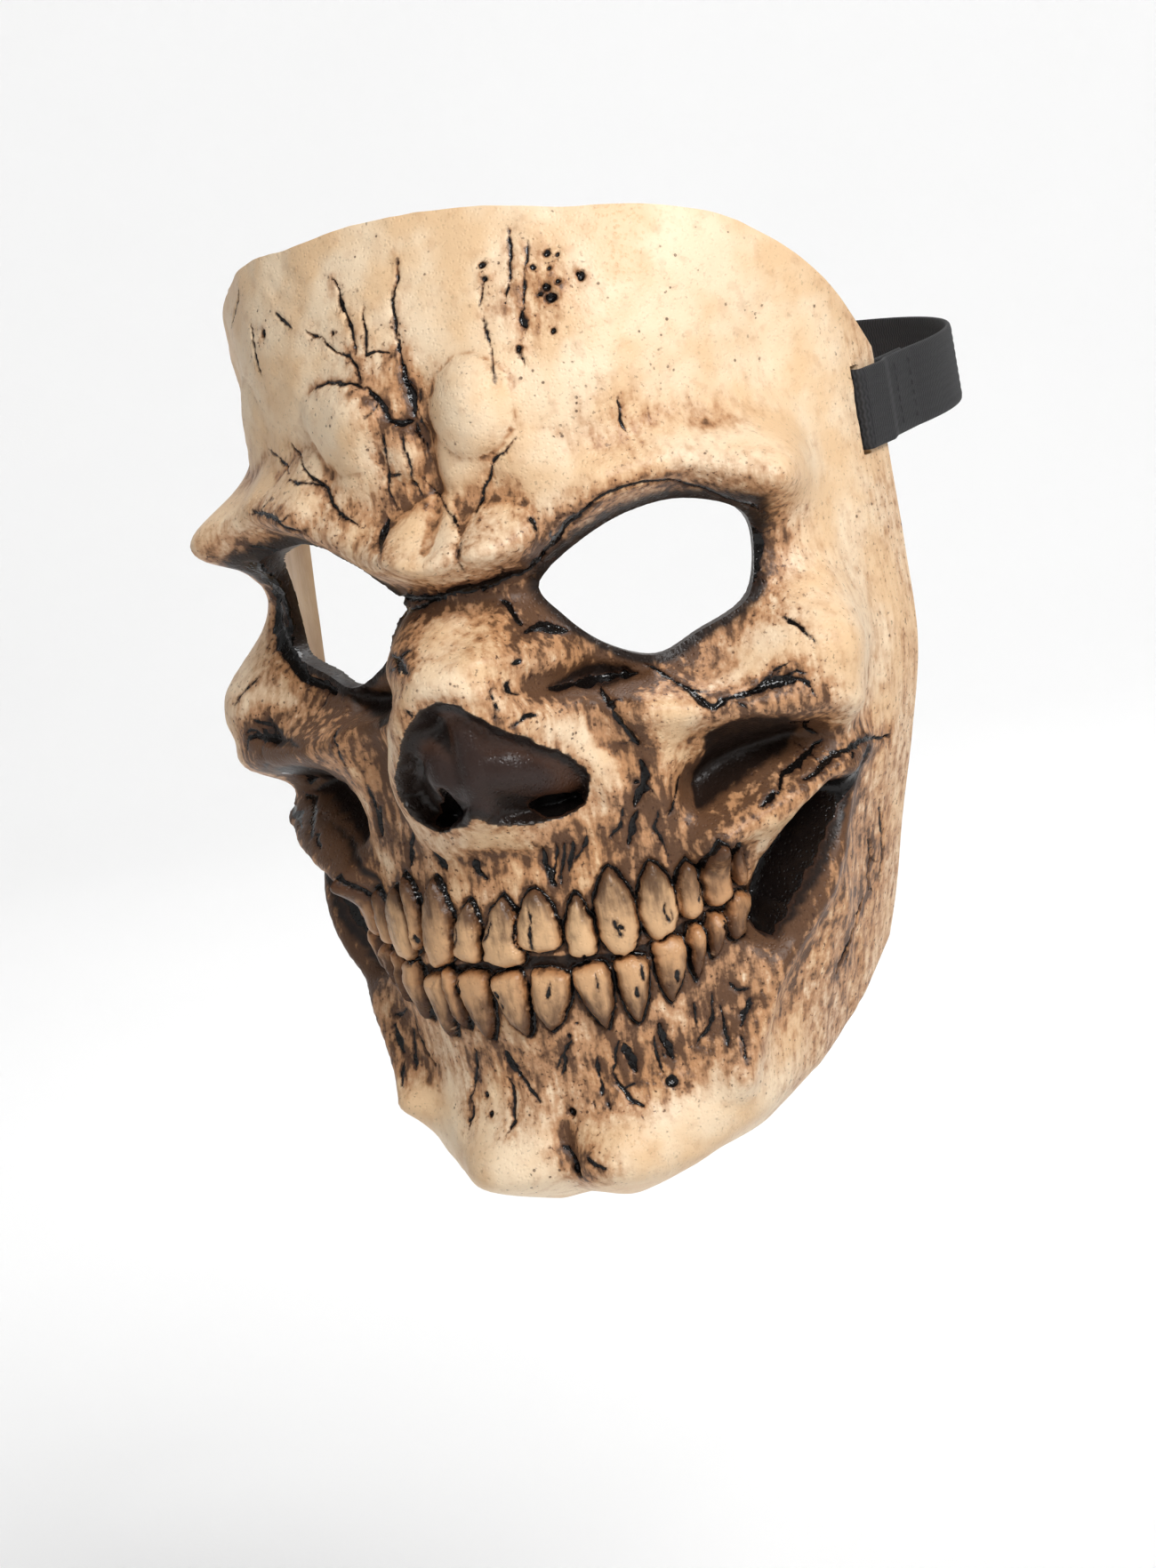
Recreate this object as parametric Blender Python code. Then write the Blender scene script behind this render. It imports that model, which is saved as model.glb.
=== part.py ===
"""Skull mask: one cast latex shell with a flat elastic strap, held up in the form it is worn in.

Metres, +Z up. The mask faces -Y, and its origin is on the inner face at the nose bridge.
"""

import math
from collections import namedtuple

import bmesh
import bpy
import numpy as np

# The shell
MASK_HEIGHT = 0.216
MASK_BREADTH = 0.142
SIDE_REACH = 0.070  # from the nose bridge back to the side rim
WALL = 0.0024
CHIN_TURN = 0.012  # how far the lower border turns in under the chin
JAW_TURN = 0.004  # and under the angle of the jaw
TURN_START = 0.95  # share of the way down where that starts
CHIN_SHARE = 0.30  # where the chin ends, as a share of the way to the side rim
JAW_SHARE = 0.60  # and where the jaw's angle begins
PLAIN_RIM = 0.019  # width of the plain strip along the side rim, where the strap is fastened
RIM_FADE = 0.016  # over which the relief rises from that strip

# Relief of the cast forms over the plain shell
BROW_RELIEF = 0.0105
CHEEK_RELIEF = 0.0095
JAW_RELIEF = 0.0060
LOBE_RELIEF = 0.0030
SOCKET_DEPTH = 0.0050
SOCKET_SPREAD = 1.2  # more gives a steeper socket wall
HOLLOW_DEPTH = 0.0080
GAP_DEPTH = 0.0100
NOSE_PROJECTION = 0.0215
NOSE_HALF_WIDTH = 0.027
NOSE_RIDGE = 0.11  # roundness of the ridge, as a share of that half width
NOSE_FULLNESS = 0.75  # less gives fuller sides
CAVITY_DEPTH = 0.0030
TOOTH_RELIEF = 0.0034
TOOTH_WIDTH = 0.0091
TOOTH_ARCH = 0.74  # share of a tooth's height over which its root widens
TOOTH_FLATNESS = 2.4  # 2 is round across, and more is flatter
TOOTH_BEVEL = 0.11  # share of its height over which it rises at root and edge
UPPER_TOOTH_HEIGHT = 0.0170
LOWER_TOOTH_HEIGHT = 0.0150

# Eye holes
EYE_WIDTH = 0.045
EYE_HEIGHT = 0.033
EYE_SPACING = 0.084  # from the middle of one hole to the middle of the other
EYE_DROP = 0.0046  # their middle, below the nose bridge
EYE_CUT_DEPTH = 0.030  # how far the cut reaches to each side of the shell

# The strap
STRAP_WIDTH = 0.018
STRAP_THICKNESS = 0.0014
STRAP_LEVEL = 0.020
SLOT_EDGE = 0.011  # from the side rim to the middle of the slot
SLOT_CLEARANCE = 0.0010
STRAP_CLEARANCE = 0.0006
RIM_FOLD = 0.007  # behind the rim, where the fold's two layers meet
TAB_RUN = 0.015  # and how far they then lie together
FOLD_RADIUS = 0.0011
HEAD_BREADTH = 0.158
HEAD_BACK = 0.168  # from the nose bridge to the back of the strap
HEAD_ROUNDNESS = 0.7  # 1 is an ellipse at the back, and less is squarer

# The mesh
OUTER_CELLS = (64, 64)
INNER_CELLS = (32, 32)
CROWDED_ACROSS = (0.50, 0.20, 1.3)  # where the cells are smaller: its middle, its spread and how much
CROWDED_DOWN = (0.76, 0.10, 1.1)
SECTION_STEPS = 90
LEVEL_STEPS = 140

COLLECTION = "skull_mask"
SIDES = {1: "left", -1: "right"}

# Sections of the plain shell: level is a share of MASK_HEIGHT, half_breadth of MASK_BREADTH, and front and
# side, how far forward and back it reaches, of SIDE_REACH; roundness 2 is an ellipse, and more is squarer.
Section = namedtuple("Section", "level half_breadth front side roundness")
SECTIONS = (
    Section(0.400, 0.492, 0.12, 0.93, 1.95),
    Section(0.280, 0.525, -0.04, 0.95, 1.95),
    Section(0.160, 0.526, -0.09, 0.99, 1.95),
    Section(0.040, 0.526, -0.06, 0.99, 1.95),
    Section(-0.060, 0.530, -0.05, 0.97, 1.95),
    Section(-0.160, 0.528, -0.08, 0.95, 1.98),
    Section(-0.250, 0.496, -0.11, 0.94, 2.00),
    Section(-0.340, 0.450, -0.14, 0.97, 2.00),
    Section(-0.430, 0.408, -0.12, 1.00, 2.10),
    Section(-0.510, 0.366, -0.09, 0.99, 2.30),
    Section(-0.580, 0.322, -0.10, 0.96, 2.45),
    Section(-0.680, 0.275, -0.08, 0.92, 2.50),
)

# Top and bottom border: share of the way from the midline to the side rim, and level in MASK_HEIGHT.
Border = namedtuple("Border", "share top bottom")
BORDERS = (
    Border(0.00, 0.376, -0.650),
    Border(0.15, 0.372, -0.658),
    Border(0.32, 0.358, -0.650),
    Border(0.50, 0.345, -0.625),
    Border(0.68, 0.310, -0.600),
    Border(0.86, 0.235, -0.568),
    Border(1.00, 0.150, -0.500),
)

# Rounded forms on both sides of the midline. Across and half_across are shares of MASK_BREADTH along the
# shell, level and half_level of MASK_HEIGHT, and lift of the relief named in the first column.
Form = namedtuple("Form", "relief across level half_across half_level tilt lift")
FORMS = (
    Form("brow", 0.00, 0.030, 0.105, 0.042, 0, 0.35),
    Form("brow", 0.495, 0.062, 0.088, 0.052, -10, 1.10),
    Form("lobe", 0.090, 0.187, 0.072, 0.046, 0, 1.05),
    Form("lobe", 0.060, 0.055, 0.060, 0.032, 0, 1.00),
    Form("lobe", 0.270, 0.205, 0.110, 0.060, 0, 0.55),
    Form("lobe", 0.205, 0.110, 0.090, 0.030, 20, 0.55),
    Form("lobe", 0.580, 0.190, 0.120, 0.080, 0, -1.10),
    Form("cheek", 0.530, -0.125, 0.130, 0.076, -8, 1.55),
    Form("cheek", 0.345, -0.150, 0.080, 0.028, 8, 0.40),
    Form("cheek", 0.250, -0.160, 0.050, 0.050, 0, 0.35),
    Form("jaw", 0.580, -0.380, 0.120, 0.090, 25, 0.90),
    Form("jaw", 0.300, -0.560, 0.130, 0.042, 10, 0.70),
    Form("jaw", 0.095, -0.600, 0.080, 0.034, 0, 0.95),
)

# Ridges and furrows that follow a line; half_width is a share of MASK_BREADTH.
Line = namedtuple("Line", "relief half_width lift route")
LINES = (
    Line("brow", 0.048, 0.92, ((0.0, 0.040), (0.120, 0.048), (0.250, 0.088), (0.360, 0.098), (0.455, 0.068))),
    Line("cheek", 0.032, 0.45, ((0.170, -0.125), (0.300, -0.148), (0.440, -0.172), (0.560, -0.180))),
    Line("cheek", 0.032, 0.75, ((0.330, -0.290), (0.420, -0.266), (0.540, -0.244), (0.660, -0.235))),
    Line("jaw", 0.036, 1.10, ((0.560, -0.275), (0.480, -0.360), (0.370, -0.450), (0.290, -0.530))),
    Line("hollow", 0.036, -1.00, ((0.330, -0.232), (0.410, -0.214), (0.500, -0.207))),
    Line("gap", 0.032, -1.00, ((0.530, -0.272), (0.470, -0.320), (0.400, -0.388))),
    Line("lobe", 0.022, -1.20, ((0.110, -0.104), (0.180, -0.106), (0.250, -0.114))),
    Line("lobe", 0.016, -0.80, ((0.0, 0.160), (0.0, 0.100), (0.0, 0.060))),
)

# The nose, from the bridge down: level in MASK_HEIGHT, share of NOSE_PROJECTION and of NOSE_HALF_WIDTH.
Nose = namedtuple("Nose", "level projection half_width")
NOSE = (
    Nose(0.010, 0.00, 0.50),
    Nose(-0.010, 0.12, 0.66),
    Nose(-0.030, 0.52, 0.82),
    Nose(-0.058, 0.93, 0.98),
    Nose(-0.095, 1.00, 1.00),
    Nose(-0.150, 1.02, 1.00),
    Nose(-0.195, 0.96, 1.00),
    Nose(-0.222, 0.68, 0.94),
    Nose(-0.245, 0.26, 0.84),
    Nose(-0.270, 0.00, 0.74),
)

# Half of the nasal cavity's outline, from its top round to the septum, as shares of NOSE_HALF_WIDTH and
# MASK_HEIGHT.
CAVITY = (
    (0.00, -0.092),
    (0.30, -0.106),
    (0.64, -0.146),
    (0.82, -0.184),
    (0.84, -0.212),
    (0.58, -0.229),
    (0.24, -0.225),
    (0.00, -0.214),
)

# Teeth of one side, front to back: width in TOOTH_WIDTH, and height in the row's tooth height.
Tooth = namedtuple("Tooth", "width height")
UPPER_TEETH = (
    Tooth(1.00, 1.00),
    Tooth(0.82, 0.92),
    Tooth(1.04, 1.20),
    Tooth(1.02, 1.05),
    Tooth(0.78, 0.78),
    Tooth(0.80, 0.90),
    Tooth(0.55, 0.62),
)
LOWER_TEETH = (
    Tooth(1.06, 0.98),
    Tooth(1.04, 1.00),
    Tooth(1.00, 1.06),
    Tooth(0.92, 0.98),
    Tooth(0.80, 0.80),
    Tooth(0.75, 0.70),
    Tooth(0.70, 0.60),
)
BITE_LEVEL = -0.394  # in MASK_HEIGHT, where the two rows meet at the midline
BITE_RISE = 0.045  # how much higher they meet at the back teeth, in MASK_HEIGHT
BITE_REACH = 0.345  # and how far round those are, in MASK_BREADTH
BITE_GAP = 0.0030

# Eye hole outline, from the corner by the nose round over the top, as shares of EYE_WIDTH and EYE_HEIGHT
# from its middle.
EYE_OUTLINE = (
    (-0.53, 0.12),
    (-0.24, 0.39),
    (0.10, 0.50),
    (0.40, 0.41),
    (0.52, 0.18),
    (0.45, -0.22),
    (0.18, -0.40),
    (-0.04, -0.50),
    (-0.26, -0.38),
    (-0.44, -0.14),
)

RELIEFS = {
    "brow": BROW_RELIEF,
    "cheek": CHEEK_RELIEF,
    "jaw": JAW_RELIEF,
    "lobe": LOBE_RELIEF,
    "hollow": HOLLOW_DEPTH,
    "gap": GAP_DEPTH,
}


def eased(at, places, values):
    """Values of a table read along a smooth curve through its rows; places rise."""
    places, values = np.asarray(places, float), np.asarray(values, float)
    slopes = np.gradient(values, places)
    at = np.clip(at, places[0], places[-1])
    row = np.clip(np.searchsorted(places, at, side="right") - 1, 0, len(places) - 2)
    span = places[row + 1] - places[row]
    t = (at - places[row]) / span
    rise = t * t * (3 - 2 * t)
    start = t * (1 - t) ** 2 * span * slopes[row]
    end = t * t * (t - 1) * span * slopes[row + 1]
    return values[row] * (1 - rise) + values[row + 1] * rise + start + end


def smooth_step(low, high, value):
    t = np.clip((value - low) / (high - low), 0, 1)
    return t * t * (3 - 2 * t)


def shell_table():
    """Half sections of the plain shell: levels, and at equal shares of each section its x, y and length."""
    rows = np.array(SECTIONS[::-1])
    levels = np.linspace(rows[0, 0], rows[-1, 0], LEVEL_STEPS)
    half, front, side, roundness = (eased(levels, rows[:, 0], column)[:, None] for column in rows.T[1:])
    turn = np.linspace(0, math.pi / 2, SECTION_STEPS * 4)[None, :]
    x = half * MASK_BREADTH * np.sin(turn) ** (2 / roundness)
    y = SIDE_REACH * (side - (side - front) * np.cos(turn) ** (2 / roundness))
    length = np.concatenate([np.zeros_like(x[:, :1]), np.cumsum(np.hypot(np.diff(x), np.diff(y)), 1)], 1)
    shares = np.linspace(0, 1, SECTION_STEPS)
    even_x = np.array([np.interp(shares * s[-1], s, row) for s, row in zip(length, x)])
    even_y = np.array([np.interp(shares * s[-1], s, row) for s, row in zip(length, y)])
    return levels * MASK_HEIGHT, even_x, even_y, length[:, -1]


LEVELS, SHELL_X, SHELL_Y, SHELL_LENGTH = shell_table()


def between(table, share, z):
    """The shell's table read at shares of the way to the rim, and heights."""
    column = np.clip(np.abs(share), 0, 1) * (SECTION_STEPS - 1)
    row = np.clip((z - LEVELS[0]) / (LEVELS[1] - LEVELS[0]), 0, LEVEL_STEPS - 1.001)
    i, j = row.astype(int), np.minimum(column.astype(int), SECTION_STEPS - 2)
    p, q = row - i, column - j
    low = table[i, j] * (1 - q) + table[i, j + 1] * q
    high = table[i + 1, j] * (1 - q) + table[i + 1, j + 1] * q
    return low * (1 - p) + high * p


def shell_point(share, z):
    """A point of the plain shell, from the signed share of the way to the rim and its height."""
    x = between(SHELL_X, share, z) * np.sign(share)
    return np.stack([x, between(SHELL_Y, share, z), z], axis=-1)


def across_of(share, z):
    """The distance from the midline along the shell."""
    return share * np.interp(z, LEVELS, SHELL_LENGTH)


def shell_normal(share, z):
    """The plain shell's outward direction."""
    step, drop = 0.004, 0.001
    along = shell_point(share + step, z) - shell_point(share - step, z)
    upright = shell_point(share, z + drop) - shell_point(share, z - drop)
    normal = np.cross(along, upright)
    return normal / np.linalg.norm(normal, axis=-1, keepdims=True)


def swelling(across, z, form):
    """1 at the middle of a rounded form, fading smoothly to nothing."""
    dx = across - form.across * MASK_BREADTH
    dz = z - form.level * MASK_HEIGHT
    c, s = math.cos(math.radians(form.tilt)), math.sin(math.radians(form.tilt))
    along = (dx * c + dz * s) / (form.half_across * MASK_BREADTH)
    over = (dz * c - dx * s) / (form.half_level * MASK_HEIGHT)
    return np.exp(-(along**2 + over**2))


def line_distance(across, z, route):
    """Distance to a route of points in metres across the shell and up."""
    best = np.full(np.shape(across), np.inf)
    for (ax, az), (bx, bz) in zip(route, route[1:]):
        run = (bx - ax) ** 2 + (bz - az) ** 2
        t = np.clip(((across - ax) * (bx - ax) + (z - az) * (bz - az)) / run, 0, 1)
        best = np.minimum(best, np.hypot(across - ax - t * (bx - ax), z - az - t * (bz - az)))
    return best


def inside(across, z, outline):
    """Whether each place lies in a closed outline."""
    odd = np.zeros(np.shape(across), bool)
    for (ax, az), (bx, bz) in zip(outline, outline[1:] + outline[:1]):
        spans = (az > z) != (bz > z)
        rise = np.where(spans, bz - az, 1)
        odd ^= spans & (across < ax + (z - az) * (bx - ax) / rise)
    return odd


def nose_relief(across, z):
    level = z / MASK_HEIGHT
    rows = np.array(NOSE[::-1])
    projection = eased(level, rows[:, 0], rows[:, 1]) * NOSE_PROJECTION
    half = eased(level, rows[:, 0], rows[:, 2]) * NOSE_HALF_WIDTH
    from_ridge = np.hypot(across / half, NOSE_RIDGE) - NOSE_RIDGE
    nose = projection * smooth_step(0, 1, 1 - from_ridge / (1 - NOSE_RIDGE)) ** NOSE_FULLNESS
    outline = [(share * NOSE_HALF_WIDTH, height * MASK_HEIGHT) for share, height in CAVITY]
    outline += [(-x, height) for x, height in outline[-2:0:-1]]
    edge = line_distance(across, z, outline + outline[:1])
    within = np.where(inside(across, z, outline), edge, -edge)
    return nose - CAVITY_DEPTH * smooth_step(0, CAVITY_DEPTH, within)


def tooth_shape(across, z, middle, half, root, edge):
    """One tooth: a pointed arch at the root, full width near its edge, and domed across."""
    down = np.clip((z - root) / (edge - root), 0, 1)
    arch = np.sin(np.clip(down / TOOTH_ARCH, 0.001, 1) * math.pi / 2)
    width = half * np.sqrt(arch)
    dome = np.sqrt(np.clip(1 - (np.abs(across - middle) / width) ** TOOTH_FLATNESS, 0, 1))
    return dome * smooth_step(0, TOOTH_BEVEL, down) * smooth_step(0, TOOTH_BEVEL, 1 - down)


def bite_height(across):
    return (BITE_LEVEL + BITE_RISE * (across / (BITE_REACH * MASK_BREADTH)) ** 2) * MASK_HEIGHT


def teeth_relief(across, z):
    relief = np.zeros(np.shape(across))
    for teeth, row_height, side in ((UPPER_TEETH, UPPER_TOOTH_HEIGHT, 1), (LOWER_TEETH, LOWER_TOOTH_HEIGHT, -1)):
        reach = 0
        for tooth in teeth:
            half = tooth.width * TOOTH_WIDTH / 2
            middle = reach + half
            reach += 2 * half
            edge = bite_height(middle) + side * BITE_GAP / 2
            root = edge + side * tooth.height * row_height
            relief = np.maximum(relief, tooth_shape(across, z, middle, half, root, edge) * TOOTH_RELIEF)
    return relief


def socket_relief(across, z):
    """The eye socket, deepest at the middle of the eye hole."""
    along = (across - EYE_SPACING / 2) / EYE_WIDTH
    up = (z + EYE_DROP) / EYE_HEIGHT
    return -SOCKET_DEPTH * smooth_step(0, 1, SOCKET_SPREAD * (1 - np.hypot(along, up)))


def relief_at(across, z):
    """How far the casting stands over the plain shell."""
    across = np.abs(across)
    total = nose_relief(across, z) + teeth_relief(across, z) + socket_relief(across, z)
    for form in FORMS:
        total = total + swelling(across, z, form) * form.lift * RELIEFS[form.relief]
    for line in LINES:
        route = [(share * MASK_BREADTH, level * MASK_HEIGHT) for share, level in line.route]
        near = line_distance(across, z, route) / (line.half_width * MASK_BREADTH)
        total = total + np.exp(-(near**2)) * line.lift * RELIEFS[line.relief]
    to_rim = np.interp(z, LEVELS, SHELL_LENGTH) - across
    return total * smooth_step(PLAIN_RIM, PLAIN_RIM + RIM_FADE, to_rim)


def casting(share, fall, sink=0.0, soften=0.0):
    """Points of the casting at signed shares across and shares down; sink moves them inward."""
    rows = np.array(BORDERS)
    top = eased(np.abs(share), rows[:, 0], rows[:, 1]) * MASK_HEIGHT
    bottom = eased(np.abs(share), rows[:, 0], rows[:, 2]) * MASK_HEIGHT
    z = top + (bottom - top) * fall
    across = across_of(share, z)
    relief = relief_at(across, z)
    if soften:
        for turn in np.arange(8) * math.pi / 4:
            beside = relief_at(across + soften * math.cos(turn), z + soften * math.sin(turn))
            relief = np.minimum(relief, beside)
    turned = np.clip((fall - TURN_START) / (1 - TURN_START), 0, 1) ** 2
    turn_in = CHIN_TURN + (JAW_TURN - CHIN_TURN) * smooth_step(CHIN_SHARE, JAW_SHARE, np.abs(share))
    lift = relief * (1 - turned) - turned * turn_in - sink
    return shell_point(share, z) + shell_normal(share, z) * lift[..., None]


def denser(count, crowded):
    """Shares from 0 to 1, closer together round a middle."""
    middle, spread, gain = crowded
    fine = np.linspace(0, 1, 400)
    weight = 1 + gain * np.exp(-(((fine - middle) / spread) ** 2))
    run = np.concatenate([[0], np.cumsum((weight[1:] + weight[:-1]) / 2)])
    return np.interp(np.linspace(0, 1, count + 1), run / run[-1], fine)


def sheet(bm, cells, sink, soften):
    """A grid laid over the casting, and the edges of its border."""
    columns, rows = cells
    made = bmesh.ops.create_grid(bm, x_segments=columns, y_segments=rows, size=1)["verts"]
    share = denser(columns, CROWDED_ACROSS) * 2 - 1
    fall = denser(rows, CROWDED_DOWN)
    i = np.array([round((v.co.x + 1) / 2 * columns) for v in made])
    j = np.array([round((1 - v.co.y) / 2 * rows) for v in made])
    for vert, place in zip(made, casting(share[i], fall[j], sink, soften)):
        vert.co = place
    inside_sheet = set(made)
    return [e for e in bm.edges if e.is_boundary and e.verts[0] in inside_sheet]


def add_object(name, bm, collection, material=None):
    mesh = bpy.data.meshes.new(name)
    bm.to_mesh(mesh)
    bm.free()
    made = bpy.data.objects.new(name, mesh)
    collection.objects.link(made)
    if material:
        mesh.materials.append(material)
    return made


def finish_material(name, colour, roughness):
    material = bpy.data.materials.new(name)
    material.use_nodes = True
    shader = material.node_tree.nodes["Principled BSDF"]
    shader.inputs["Base Color"].default_value = (*colour, 1)
    shader.inputs["Roughness"].default_value = roughness
    shader.inputs["Metallic"].default_value = 0.0
    return material


def prism(name, outline, half_height, collection):
    """A cutter from a flat outline in its own x and y, on both sides of its plane."""
    bm = bmesh.new()
    face = bm.faces.new([bm.verts.new((x, y, -half_height)) for x, y in outline])
    raised = bmesh.ops.extrude_face_region(bm, geom=[face])["geom"]
    bmesh.ops.translate(
        bm, vec=(0, 0, 2 * half_height), verts=[g for g in raised if isinstance(g, bmesh.types.BMVert)]
    )
    bmesh.ops.recalc_face_normals(bm, faces=bm.faces)
    cutter = add_object(name, bm, collection)
    cutter.hide_render = True
    cutter.display_type = "WIRE"
    return cutter


def closed_curve(points, steps):
    """A smooth closed outline through a few points."""
    points = np.array(points)
    t = np.arange(steps)[:, None] / steps
    smooth = []
    for k in range(len(points)):
        a, b, c, d = (points[(k + shift) % len(points)] for shift in (-1, 0, 1, 2))
        smooth.append(
            0.5 * (2 * b + (c - a) * t + (2 * a - 5 * b + 4 * c - d) * t**2 + (3 * b - a - 3 * c + d) * t**3)
        )
    return np.concatenate(smooth).tolist()


def cut(target, cutter, name):
    boolean = target.modifiers.new(name, "BOOLEAN")
    boolean.operation = "DIFFERENCE"
    boolean.solver = "EXACT"
    boolean.object = cutter


def eye_cutter(side, collection):
    outline = closed_curve([(a * EYE_WIDTH, b * EYE_HEIGHT) for a, b in EYE_OUTLINE], 4)
    outline = [(side * x, y) for x, y in outline]
    cutter = prism(f"eye_cutter_{SIDES[side]}", outline, EYE_CUT_DEPTH, collection)
    z = np.array([-EYE_DROP])
    share = side * EYE_SPACING / 2 / np.interp(z, LEVELS, SHELL_LENGTH)
    cutter.location = shell_point(share, z)[0]
    facing = shell_normal(share, z)[0]
    cutter.rotation_euler = (math.pi / 2, 0, math.atan2(facing[0], -facing[1]))
    return cutter


def wall_in_plan(from_rim):
    """On the left side at the strap's level: a point of the outer face this far from the side rim, in plan,
    the wall's outward direction there and its direction to the back."""
    length = float(np.interp(STRAP_LEVEL, LEVELS, SHELL_LENGTH))
    share = np.array([1 - from_rim / length])
    z = np.array([STRAP_LEVEL])
    facing = shell_normal(share, z)[0, :2]
    facing = facing / np.linalg.norm(facing)
    return shell_point(share, z)[0, :2], facing, np.array([-facing[1], facing[0]])


def slot_cutter(side, collection):
    half_long = STRAP_WIDTH / 2 + SLOT_CLEARANCE
    half_wide = STRAP_THICKNESS / 2 + SLOT_CLEARANCE
    outline = [(-half_wide, -half_long), (half_wide, -half_long), (half_wide, half_long), (-half_wide, half_long)]
    cutter = prism(f"slot_cutter_{SIDES[side]}", outline, 4 * WALL, collection)
    place, facing, _ = wall_in_plan(SLOT_EDGE)
    cutter.location = (side * place[0], place[1], STRAP_LEVEL)
    cutter.rotation_euler = (math.pi / 2, 0, side * math.atan2(facing[0], -facing[1]))
    return cutter


def build_shell(parts, cutters):
    bm = bmesh.new()
    outer_rim = sheet(bm, OUTER_CELLS, 0.0, 0.0)
    inner_rim = sheet(bm, INNER_CELLS, WALL, WALL)
    bmesh.ops.bridge_loops(bm, edges=outer_rim + inner_rim)
    bmesh.ops.triangulate(bm, faces=bm.faces)
    bmesh.ops.recalc_face_normals(bm, faces=bm.faces)
    shell = add_object("mask_shell", bm, parts, finish_material("painted_latex", (0.80, 0.62, 0.42), 0.45))
    shell.data.shade_smooth()
    for side in SIDES:
        cut(shell, eye_cutter(side, cutters), f"eye_hole_{SIDES[side]}")
        cut(shell, slot_cutter(side, cutters), f"strap_slot_{SIDES[side]}")
    return shell


def rounded_route(points, radius, steps):
    """A route with its corners rounded by arcs."""
    points = [np.array(p, float) for p in points]
    route = [points[0]]
    for before, corner, after in zip(points, points[1:], points[2:]):
        back, ahead = before - corner, after - corner
        reach_back, reach_ahead = np.linalg.norm(back), np.linalg.norm(ahead)
        cosine = float(np.clip(back @ ahead / reach_back / reach_ahead, -1, 1))
        trim = min(radius / math.tan(math.acos(cosine) / 2), 0.45 * reach_back, 0.45 * reach_ahead)
        start, end = corner + back / reach_back * trim, corner + ahead / reach_ahead * trim
        for t in np.linspace(0, 1, steps):
            route.append(start * (1 - t) ** 2 + corner * 2 * t * (1 - t) + end * t**2)
    return np.array(route + [points[-1]])


def strap_route():
    """The middle line of the strap in plan: the fold through the left slot from the tab's end, and then the
    half turn round the head."""
    lay = STRAP_THICKNESS / 2 + STRAP_CLEARANCE
    slot, slot_out, _ = wall_in_plan(SLOT_EDGE)
    rim, rim_out, back = wall_in_plan(0)
    under = slot - slot_out * (WALL + lay)
    over = slot + slot_out * lay
    past_rim = back * lay
    layer = STRAP_THICKNESS + STRAP_CLEARANCE
    joined = rim + back * RIM_FOLD - rim_out * (WALL - layer) / 2
    leaving = joined + back * TAB_RUN
    tab = joined - rim_out * layer
    fold = [tab + back * TAB_RUN, tab, rim + past_rim - rim_out * (WALL + lay), under]
    fold += [over, rim + past_rim + rim_out * lay, joined, leaving]
    depth = HEAD_BACK - leaving[1]
    swell = HEAD_BREADTH / 2 - leaving[0]
    head = []
    for turn in np.linspace(0, math.pi / 2, 22)[1:]:
        x = leaving[0] * abs(math.cos(turn)) ** HEAD_ROUNDNESS + swell * math.sin(2 * turn)
        head.append((x, leaving[1] + depth * math.sin(turn)))
    head[-1] = (0.0, HEAD_BACK)
    return fold, head


def build_strap(parts):
    fold, head = strap_route()
    half = rounded_route(fold, FOLD_RADIUS, 5).tolist() + head
    route = np.array(half + [(-x, y) for x, y in half[-2::-1]])
    forward = np.gradient(route, axis=0)
    forward /= np.linalg.norm(forward, axis=1)[:, None]
    side = np.stack([-forward[:, 1], forward[:, 0]], 1) * STRAP_THICKNESS / 2
    outline = np.concatenate([route + side, (route - side)[::-1]])
    curve = bpy.data.curves.new("elastic_strap", "CURVE")
    curve.dimensions = "2D"
    curve.fill_mode = "BOTH"
    curve.extrude = STRAP_WIDTH / 2
    spline = curve.splines.new("POLY")
    spline.points.add(len(outline) - 1)
    for point, (x, y) in zip(spline.points, outline):
        point.co = (x, y, 0, 1)
    spline.use_cyclic_u = True
    strap = bpy.data.objects.new("elastic_strap", curve)
    strap.location = (0, 0, STRAP_LEVEL)
    curve.materials.append(finish_material("black_elastic", (0.02, 0.02, 0.022), 0.8))
    parts.objects.link(strap)
    return strap


def main():
    for old in list(bpy.data.objects):
        bpy.data.objects.remove(old, do_unlink=True)
    parts = bpy.data.collections.new(COLLECTION)
    cutters = bpy.data.collections.new("cutters")
    for collection in (parts, cutters):
        bpy.context.scene.collection.children.link(collection)
    build_shell(parts, cutters)
    build_strap(parts)


if __name__ == "__main__":
    main()
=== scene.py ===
"""Skull mask: the painted latex shell with its teeth, cracks and pits, and the elastic strap that holds it.

Everything is in metres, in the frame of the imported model: +Z up, the mask faces -Y, and the origin is on
its inner face at the nose bridge. Places on the casting are given as pixels of the photograph, taken as
1300 by 1764, or as the distance from the midline along the shell and the height.
"""

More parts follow.
